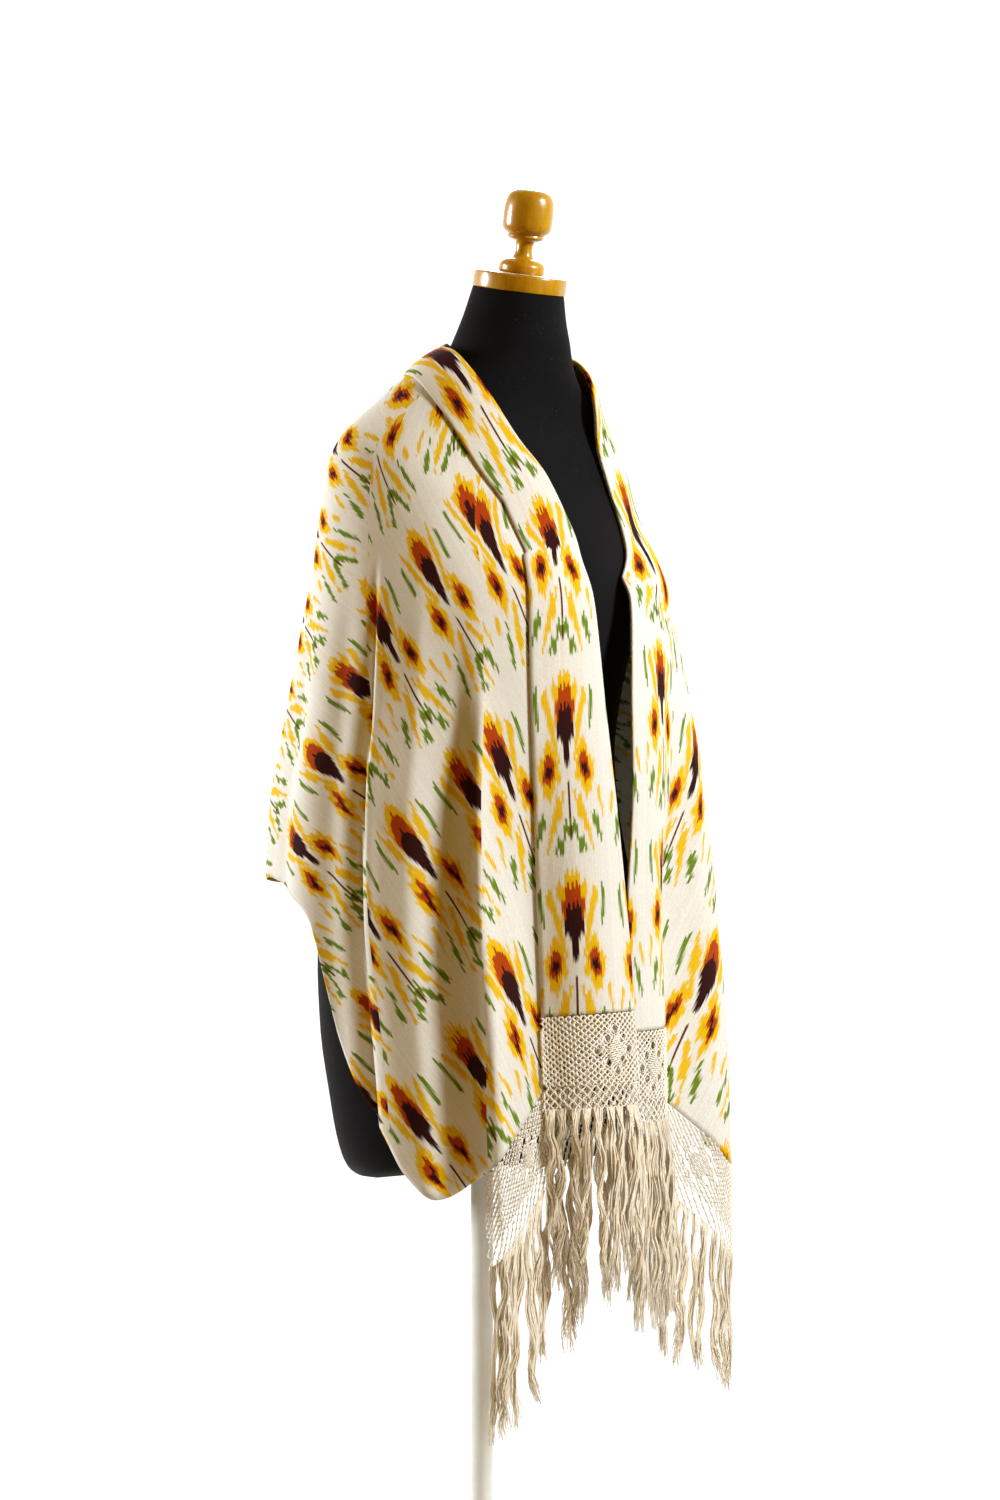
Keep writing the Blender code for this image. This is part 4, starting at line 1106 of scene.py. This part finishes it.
def net_band(name, points, normals, lozenges):
    """A band of zigzag cords, tight above and open below, that lean square to a sloping hem."""
    width = float(np.linalg.norm(np.diff(points[20], axis=0), axis=1).sum())
    lean = LEAN_SHARE * float(points[0, -1, 2] - points[0, 0, 2]) / width
    middles = [(share * width - lean * 0.5 * TIGHT_TO, LOZENGE_AT * TIGHT_TO) for share in lozenges]
    centres = [(x + dx, y + dy) for x, y in middles for dx, dy in HOLES_ROUND]
    sets = [
        zigzags(width, 0.0, TIGHT_TO, TIGHT_PITCH, TIGHT_ROW, NET_CORD, centres, lean),
        zigzags(width, TIGHT_TO, NET_HEIGHT, OPEN_PITCH, OPEN_ROW, OPEN_CORD, centres, lean),
    ]
    # A lozenge of straight floats stands between its holes.
    float_x, float_y = [], []
    for middle_x, middle_y in middles:
        for row in np.linspace(-FLOAT_REACH, FLOAT_REACH, FLOAT_ROWS):
            half = FLOAT_HALF * (1 - abs(row) / FLOAT_TAPER) + FLOAT_LEAST
            float_x.append(np.linspace(middle_x - half, middle_x + half, 5))
            float_y.append(middle_y + row + np.linspace(-FLOAT_SLANT, FLOAT_SLANT, 5))
    sets.append((np.array(float_x), np.array(float_y), np.full((len(float_x), 5), FLOAT_CORD)))
    made = []
    for number, (x, y, thick) in enumerate(sets):
        x = x + lean * y
        within = (x > NET_MARGIN) & (x < width - NET_MARGIN)
        at = grid_lookup(points, x / width, y / NET_HEIGHT)
        out = grid_lookup(normals, x / width, y / NET_HEIGHT)
        lift = FLOAT_LIFT if number == 2 else 0.0
        at = at + out * (lift + dice.normal(0, 0.00018, x.shape))[:, :, None]
        if number == 2:
            side_on = np.zeros_like(at) + (0.0, 0.0, 1.0)
        else:
            side_on = np.cross(out, (0.0, 0.0, 1.0))
        side_on /= np.linalg.norm(side_on, axis=-1, keepdims=True)
        kept = [(i, np.flatnonzero(within[i])) for i in range(len(x))]
        kept = [(i, slice(k[0], k[-1] + 1)) for i, k in kept if len(k) > 2]
        runs = [[values[i, span] for i, span in kept] for values in (at, thick, side_on, NET_FLATNESS * out)]
        made.append(tubes(name + str(number), *runs, 4))
    bpy.ops.object.select_all(action="DESELECT")
    for part in made:
        part.select_set(True)
    bpy.context.view_layer.objects.active = made[0]
    bpy.ops.object.join()
    made[0].name = name
    made[0].data.name = name
    return made[0]


nets, lower_edges = {}, {}
for side in SIDES:
    points, normals = lapel_net_grid(side)
    nets["lapel_" + side] = net_band("knotted_net_lapel_" + side, points, normals, LAPEL_LOZENGES)
    lower_edges["lapel_" + side] = (points[-1], normals[-1])
    points, normals = drape_net_grid(side)
    nets["drape_" + side] = net_band("knotted_net_drape_" + side, points, normals, DRAPE_LOZENGES)
    lower_edges["drape_" + side] = (points[-1], normals[-1])
print("net faces", {k: len(v.data.polygons) for k, v in nets.items()})

# %% [markdown]
# ## The tassels
#
# What is left of the warp hangs below the last knots in loose locks. The threads keep the waves that
# the spinning gave them, gather a few centimetres below the net, turn a little round each other and end
# unevenly. A lock is a spine with slow waves, and its threads are thin tubes that wander round it.

# %% Tassels
TASSELS = (
    # stretch, locks, length at the fold, length at the corner, how far they stand out
    ("drape_right", 17, 0.165, 0.180, -0.0030),
    ("drape_left", 17, 0.190, 0.135, -0.0030),
    ("lapel_right", 9, 0.165, 0.172, 0.0042),
    ("lapel_left", 9, 0.196, 0.186, 0.0042),
)
LOCK_STEPS = 15
LOCK_THREADS = 22
THREAD = 0.00082
WAVE_LENGTHS = (0.050, 0.085)
LOCK_SWAYS = (0.0015, 0.0036)
LOCK_NOD = 0.0016
LOCK_WIDTHS = (0.0042, 0.0062)
LOCK_FLATNESS = 0.62
THREAD_SCATTER = 0.0004
THREAD_WANDER = 0.00055
THREAD_SPREAD = 0.42
INTO_NET = 0.0015


def lock_of_threads(starts, root, along, out, length, lean):
    """Lines of one lock: they start side by side in the net, gather, wander and end unevenly."""
    t = np.linspace(0.0, 1.0, LOCK_STEPS)[None, :]
    phase = dice.uniform(0, 2 * math.pi, 4)
    waves = length / dice.uniform(*WAVE_LENGTHS)
    sway = dice.uniform(*LOCK_SWAYS) * np.sin(phase[0] + 2 * math.pi * waves * t) * ease(t * 5)
    sway = sway + dice.normal(0, 0.005) * t**1.5
    nod = LOCK_NOD * np.sin(phase[1] + 2 * math.pi * waves * 0.8 * t) * ease(t * 5) + lean * ease(t * 6)
    turns = phase[2] + dice.uniform(-2.2, 2.2) * math.pi * t
    wide = dice.uniform(*LOCK_WIDTHS)
    reach = np.sqrt(dice.uniform(0, 1, LOCK_THREADS))[:, None]
    angle = dice.uniform(0, 2 * math.pi, LOCK_THREADS)[:, None]
    gather = 1.0 - 0.30 * ease(t / 0.25) + 0.18 * np.sin(phase[3] + 9.0 * t) * ease(t * 4)
    gather = gather + 0.35 * ease((t - 0.82) / 0.18)
    ring_x = reach * np.cos(angle + turns) * wide * gather
    ring_y = reach * np.sin(angle + turns) * wide * LOCK_FLATNESS * gather
    opened = ease(t / 0.16)
    x = ring_x * opened
    y = dice.normal(0, THREAD_SCATTER, (LOCK_THREADS, 1)) * (1 - opened) + ring_y * opened
    wander = dice.normal(0, THREAD_WANDER, (LOCK_THREADS, LOCK_STEPS)) * ease(t * 4)
    x = x + sway + wander
    y = y + nod + dice.normal(0, THREAD_SCATTER, (LOCK_THREADS, LOCK_STEPS)) * ease(t * 4)
    own = length * np.minimum(1.0 - np.abs(dice.normal(0, 0.07, LOCK_THREADS)), 1.0)[:, None]
    drop = own * t
    lines = starts[:, None] * (1 - opened[:, :, None]) + root * opened[:, :, None]
    lines = lines + along * x[:, :, None] + out * y[:, :, None] - np.array([0.0, 0.0, 1.0]) * drop[:, :, None]
    radius = THREAD * dice.uniform(0.75, 1.25, LOCK_THREADS)[:, None] * (1.0 - 0.55 * ease((t - 0.75) / 0.25))
    return lines, radius * np.ones_like(x)


tassels = {}
for stretch, count, at_fold, at_corner, lean in TASSELS:
    edge, edge_out = lower_edges[stretch]
    along_edge = distance_along(edge)
    stops = (np.arange(count) + 0.5 + dice.uniform(-0.18, 0.18, count)) * along_edge[-1] / count
    roots = points_along(edge, along_edge, stops)
    outs = points_along(edge_out, along_edge, stops)
    outs[:, 2] = 0.0
    outs /= np.linalg.norm(outs, axis=1, keepdims=True)
    sides_on = np.cross(outs, (0.0, 0.0, 1.0))
    lines, radii, all_along, all_out = [], [], [], []
    for i in range(count):
        length = (at_fold + (at_corner - at_fold) * i / (count - 1)) * dice.uniform(0.88, 1.04)
        spread = dice.uniform(-THREAD_SPREAD, THREAD_SPREAD, LOCK_THREADS) * along_edge[-1] / count
        starts = points_along(edge, along_edge, np.clip(stops[i] + spread, 0.0, along_edge[-1]))
        starts = starts + (0.0, 0.0, INTO_NET)
        line, radius = lock_of_threads(starts, roots[i], sides_on[i], outs[i], length, lean)
        lines.append(line)
        radii.append(radius)
        all_along.append(np.broadcast_to(sides_on[i], line.shape))
        all_out.append(np.broadcast_to(outs[i], line.shape))
    lines, radii = np.concatenate(lines), np.concatenate(radii)
    made = tubes("tassels_of_" + stretch, lines, radii, np.concatenate(all_along), np.concatenate(all_out), 3)
    tassels[stretch] = made
print("tassel faces", {k: len(v.data.polygons) for k, v in tassels.items()})

# %% [markdown]
# ## The finish of net and tassels
#
# The warp is undyed, a little darker than the cloth where it bunches, with brown shadows between the
# threads. Streaks run along the threads, and dye has bled into the first rows of knots.

# %% Yarn material
def warp_yarn(name, light, dark, streak):
    made, tree, shader = new_material(name)
    streaks = noise(tree, place_on_piece(tree, streak), 520.0, 3.0, 0.65)
    cloudy = noise(tree, place_on_piece(tree), 26.0, 3.0, 0.6)
    share = maths(tree, "MULTIPLY_ADD", streaks, 0.75, maths(tree, "MULTIPLY", cloudy, 0.45))
    colour = blended(tree, ramp_between(tree, share, 0.38, 0.80), light, dark)
    tree.links.new(colour, shader.inputs["Base Color"])
    tree.links.new(bump(tree, streaks, 0.35, 0.0005), shader.inputs["Normal"])
    set_inputs(shader, {
        "Roughness": 0.80, "Specular IOR Level": 0.25, "Sheen Weight": 0.70, "Sheen Roughness": 0.5,
        "Sheen Tint": (1.0, 0.95, 0.86, 1.0),
    })
    return made


net_yarn = warp_yarn("knotted_warp", (0.98, 0.955, 0.91), (0.95, 0.89, 0.80), 1.0)
tassel_yarn = warp_yarn("loose_warp", (0.98, 0.955, 0.90), (0.78, 0.65, 0.46), 0.07)
for piece in nets.values():
    piece.data.materials.append(net_yarn)
for piece in tassels.values():
    piece.data.materials.append(tassel_yarn)
for stretch, piece in nets.items():
    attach(piece, "root")
    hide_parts("net_" + stretch)
for stretch, piece in tassels.items():
    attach(piece, "root")
    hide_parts("tassels_" + stretch)
print("yarns on", len(nets) + len(tassels), "pieces")

# %% [markdown]
# ## Turned and padded pieces
#
# The form, its cap and finial, and the stand are all rings stacked on an axis. One way makes them all:
# a circle is added, then extruded up and scaled ring by ring, as a turner reads a profile.

# %% Ring by ring
def select_ring(height, keep=None):
    """Selects the vertices at one height of the piece in edit mode."""
    shape = bmesh.from_edit_mesh(bpy.context.object.data)
    for vertex in shape.verts:
        vertex.select_set(abs(vertex.co.z - height) < 1e-5 and (keep is None or keep(vertex.co)))
    shape.select_flush(True)
    bmesh.update_edit_mesh(bpy.context.object.data)


def turned(name, profile, sides):
    """A closed turned piece from a profile of (radius, height), lowest first."""
    bpy.ops.object.select_all(action="DESELECT")
    radius, height = profile[0]
    bpy.ops.mesh.primitive_circle_add(vertices=sides, radius=radius, fill_type="NGON", location=(0, 0, 0))
    piece = bpy.context.object
    piece.name = name
    piece.data.name = name
    bpy.ops.object.mode_set(mode="EDIT")
    bpy.ops.mesh.select_all(action="SELECT")
    bpy.ops.transform.translate(value=(0, 0, height))
    for next_radius, next_height in profile[1:]:
        bpy.ops.mesh.extrude_region_move(TRANSFORM_OT_translate={"value": (0, 0, next_height - height)})
        scale = next_radius / radius
        bpy.ops.transform.resize(value=(scale, scale, 1.0), center_override=(0, 0, next_height))
        radius, height = next_radius, next_height
    bpy.ops.mesh.select_all(action="SELECT")
    bpy.ops.mesh.normals_make_consistent(inside=False)
    bpy.ops.object.mode_set(mode="OBJECT")
    bpy.ops.object.shade_smooth_by_angle(angle=math.radians(40))
    return piece


def rounded(profile, count):
    """The same profile with more points, on a smooth curve through the given ones."""
    table = np.array(profile)
    along = distance_along(table)
    at = np.linspace(0.0, along[-1], count)
    radii, heights = smooth(at, along, table[:, 0]), smooth(at, along, table[:, 1])
    return [(max(float(r), LEAST_RADIUS), float(h)) for r, h in zip(radii, heights)]


def stand_on_neck(piece, lift):
    """Leans a turned piece forwards with the neck and sets it down on the neck's top."""
    pick(piece)
    up = Vector((0.0, -math.sin(CAP_LEAN), math.cos(CAP_LEAN)))
    piece.location = Vector(NECK_TOP) + up * lift
    piece.rotation_euler = (CAP_LEAN, 0.0, 0.0)
    bpy.ops.object.transform_apply(location=True, rotation=True, scale=True)


NECK_TOP = (0.0, -0.0525, 1.347)
CAP_LEAN = math.radians(10.5)
CAP_THICKNESS = 0.0165
SEAT = 0.0003
LEAST_RADIUS = 0.0004
FINIAL_PROFILE = (
    # radius, height above the cap
    (0.0212, 0.0003), (0.0222, 0.0035), (0.0222, 0.0075), (0.0205, 0.0112), (0.0165, 0.0140),
    (0.0112, 0.0156), (0.0088, 0.0190), (0.0081, 0.0250), (0.0092, 0.0312), (0.0165, 0.0344),
    (0.0180, 0.0362), (0.0172, 0.0378), (0.0200, 0.0402), (0.0230, 0.0432), (0.0241, 0.0485),
    (0.0242, 0.0565), (0.0238, 0.0650), (0.0224, 0.0728), (0.0192, 0.0782), (0.0130, 0.0812),
    (0.0006, 0.0822),
)
finial = turned("turned_finial", rounded(FINIAL_PROFILE, 84), 56)
stand_on_neck(finial, SEAT + CAP_THICKNESS)
CAP_PROFILE = (
    (0.0440, 0.0), (0.0452, 0.0006), (0.0455, 0.0018), (0.0455, 0.0146), (0.0452, 0.0158), (0.0446, 0.0163),
    (0.0436, CAP_THICKNESS), (0.0240, CAP_THICKNESS),
)
cap = turned("turned_neck_cap", CAP_PROFILE, 96)
stand_on_neck(cap, SEAT)
print("wood faces", len(finial.data.polygons), len(cap.data.polygons))

# %% Form body
UNDERSIDE = 0.492
BOTTOM_TILT = 0.14
FORM_SIDES = 112
FORM_RINGS = 84


def form_section(height):
    table = np.array(FORM_SECTIONS)
    return [float(smooth(height, table[:, 0], table[:, column])) for column in range(1, 5)]


def form_body():
    table = np.array(FORM_SECTIONS)
    crowded = np.linspace(0, 1, FORM_RINGS)
    heights = smooth(crowded * (len(table) - 1), np.arange(len(table)), table[:, 0])
    bpy.ops.object.select_all(action="DESELECT")
    bpy.ops.mesh.primitive_circle_add(vertices=FORM_SIDES, radius=1.0, fill_type="NGON", location=(0, 0, 0))
    body = bpy.context.object
    body.name = "jersey_form"
    body.data.name = "jersey_form"
    bpy.ops.object.mode_set(mode="EDIT")
    bpy.ops.mesh.select_all(action="SELECT")
    was = [1.0, 1.0, 1.0, 0.0]
    height = 0.0
    for number, next_height in enumerate(float(h) for h in heights):
        wide, front, back, centre = form_section(next_height)
        shift = (0, centre - was[3], next_height - height)
        if number:
            bpy.ops.mesh.extrude_region_move(TRANSFORM_OT_translate={"value": shift})
        else:
            bpy.ops.transform.translate(value=shift)
        middle = (0, centre, next_height)
        bpy.ops.transform.resize(value=(wide / was[0], 1, 1), center_override=middle)
        select_ring(next_height, lambda co: co.y < centre - 1e-6)
        bpy.ops.transform.resize(value=(1, front / was[1], 1), center_override=middle)
        select_ring(next_height, lambda co: co.y > centre + 1e-6)
        bpy.ops.transform.resize(value=(1, back / was[2], 1), center_override=middle)
        select_ring(next_height)
        was, height = [wide, front, back, centre], next_height
    bpy.ops.mesh.select_all(action="SELECT")
    bpy.ops.mesh.normals_make_consistent(inside=False)
    bpy.ops.object.mode_set(mode="OBJECT")
    # The lowest rings dip to the back and the neck leans forwards, as a sheared stack does.
    for vertex in body.data.vertices:
        low = float(ease((0.62 - vertex.co.z) / 0.10))
        high = float(ease((vertex.co.z - 1.27) / 0.07))
        lean = math.tan(CAP_LEAN) * high * (vertex.co.y - NECK_TOP[1])
        vertex.co.z += lean - BOTTOM_TILT * low * vertex.co.y
    pick(body)
    bpy.ops.object.shade_smooth_by_angle(angle=math.radians(50))
    return body


body = form_body()
print("form faces", len(body.data.polygons))

# %% Stand
POLE_RADIUS = 0.011
BASE_RADIUS = 0.160
BASE_THICKNESS = 0.014
POLE_PROFILE = (
    (0.0300, BASE_THICKNESS + 0.0003), (0.0310, BASE_THICKNESS + 0.0010), (0.0300, BASE_THICKNESS + 0.0060),
    (0.0260, BASE_THICKNESS + 0.0130), (0.0205, BASE_THICKNESS + 0.0200), (0.0150, BASE_THICKNESS + 0.0255),
    (0.0120, BASE_THICKNESS + 0.0285), (POLE_RADIUS, BASE_THICKNESS + 0.0310), (POLE_RADIUS, 0.16),
    (POLE_RADIUS, 0.32), (POLE_RADIUS, UNDERSIDE - 0.0030), (POLE_RADIUS - 0.001, UNDERSIDE - 0.0020),
)
BASE_PROFILE = (
    (BASE_RADIUS - 0.003, 0.0), (BASE_RADIUS - 0.001, 0.0008), (BASE_RADIUS, 0.0024), (BASE_RADIUS, 0.0072),
    (BASE_RADIUS - 0.0010, 0.0092), (BASE_RADIUS - 0.0035, 0.0106), (BASE_RADIUS - 0.0080, 0.0118),
    (BASE_RADIUS - 0.0200, BASE_THICKNESS - 0.0004), (BASE_RADIUS - 0.0400, BASE_THICKNESS),
    (0.0350, BASE_THICKNESS),
)
pole = turned("stand_tube", POLE_PROFILE, 48)
base = turned("stand_foot", BASE_PROFILE, 128)
print("stand faces", len(pole.data.polygons), len(base.data.polygons))

# %% [markdown]
# ## Jersey, wood and enamel
#
# The form is covered in matt black jersey: a fine knit with a soft sheen at grazing angles and pale lint.
# The wood is a honey-brown hardwood under thick gloss varnish, with grain along the axis. The stand is
# satin white enamel.

# %% Form and stand materials
JERSEY_DEEP, JERSEY_PALE = (0.0085, 0.0084, 0.0105), (0.0140, 0.0136, 0.0160)
LINT = (0.30, 0.29, 0.27)
WOOD_PALE, WOOD_DEEP, WOOD_PORES = (0.57, 0.32, 0.012), (0.44, 0.205, 0.004), (0.17, 0.050, 0.003)
ENAMEL_CLEAN, ENAMEL_DUSTY = (0.80, 0.80, 0.79), (0.72, 0.72, 0.71)


def black_jersey():
    made, tree, shader = new_material("black_jersey")
    place = place_on_piece(tree)
    knit = noise(tree, place_on_piece(tree, 0.55), 1500.0, 2.0, 0.6)
    broad = noise(tree, place, 9.0, 3.0)
    colour = blended(tree, ramp_between(tree, broad, 0.3, 0.7), JERSEY_DEEP, JERSEY_PALE)
    lint = noise(tree, place_on_piece(tree), 620.0, 2.0, 0.6)
    lint = ramp_between(tree, lint, 0.69, 0.74)
    patch = ramp_between(tree, noise(tree, place, 14.0, 2.0), 0.5, 0.7)
    lint = maths(tree, "MULTIPLY", maths(tree, "MULTIPLY", lint, patch), 0.5)
    colour = blended(tree, lint, colour, LINT)
    tree.links.new(colour, shader.inputs["Base Color"])
    tree.links.new(bump(tree, knit, 0.5, 0.0006), shader.inputs["Normal"])
    set_inputs(shader, {
        "Roughness": 0.92, "Specular IOR Level": 0.12, "Sheen Weight": 0.12, "Sheen Roughness": 0.35,
    })
    return made


def varnished_wood():
    made, tree, shader = new_material("varnished_wood")
    grain = noise(tree, place_on_piece(tree, 0.16), 210.0, 4.0, 0.62)
    figure = noise(tree, place_on_piece(tree, 0.35), 42.0, 3.0, 0.55)
    share = maths(tree, "MULTIPLY_ADD", grain, 0.55, maths(tree, "MULTIPLY", figure, 0.45))
    colour = blended(tree, ramp_between(tree, share, 0.36, 0.64), WOOD_PALE, WOOD_DEEP)
    pores = noise(tree, place_on_piece(tree, 0.08), 900.0, 2.0, 0.6)
    colour = blended(tree, ramp_between(tree, pores, 0.60, 0.72, 0.0, 0.35), colour, WOOD_PORES)
    tree.links.new(colour, shader.inputs["Base Color"])
    tree.links.new(bump(tree, grain, 0.12, 0.0004), shader.inputs["Normal"])
    set_inputs(shader, {"Roughness": 0.34, "Coat Weight": 0.6, "Coat Roughness": 0.08})
    return made


def white_enamel():
    made, tree, shader = new_material("white_enamel")
    dust = noise(tree, place_on_piece(tree), 30.0, 3.0)
    colour = blended(tree, ramp_between(tree, dust, 0.3, 0.7), ENAMEL_CLEAN, ENAMEL_DUSTY)
    tree.links.new(colour, shader.inputs["Base Color"])
    orange_peel = noise(tree, place_on_piece(tree), 420.0, 1.0)
    tree.links.new(bump(tree, orange_peel, 0.06, 0.0004), shader.inputs["Normal"])
    set_inputs(shader, {"Roughness": 0.32})
    return made


def pale_floor():
    made, _, shader = new_material("pale_floor")
    set_inputs(shader, {"Base Color": (*ENAMEL_DUSTY, 1.0), "Roughness": 0.9})
    return made


wood, enamel = varnished_wood(), white_enamel()
FINISHES = (
    # piece, material, slot, node that it stands for
    (body, black_jersey(), "jersey", "dress_form"),
    (cap, wood, "varnished_wood", "neck_cap"),
    (finial, wood, "varnished_wood", "finial"),
    (pole, enamel, "white_enamel", "stand_pole"),
    (base, enamel, "white_enamel", "stand_base"),
)
for piece, finish, slot, node in FINISHES:
    piece.data.materials.clear()
    piece.data.materials.append(finish)
    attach(piece, "root")
    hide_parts(node)
floor.data.materials.append(pale_floor())
print("finished", [row[0].name for row in FINISHES])
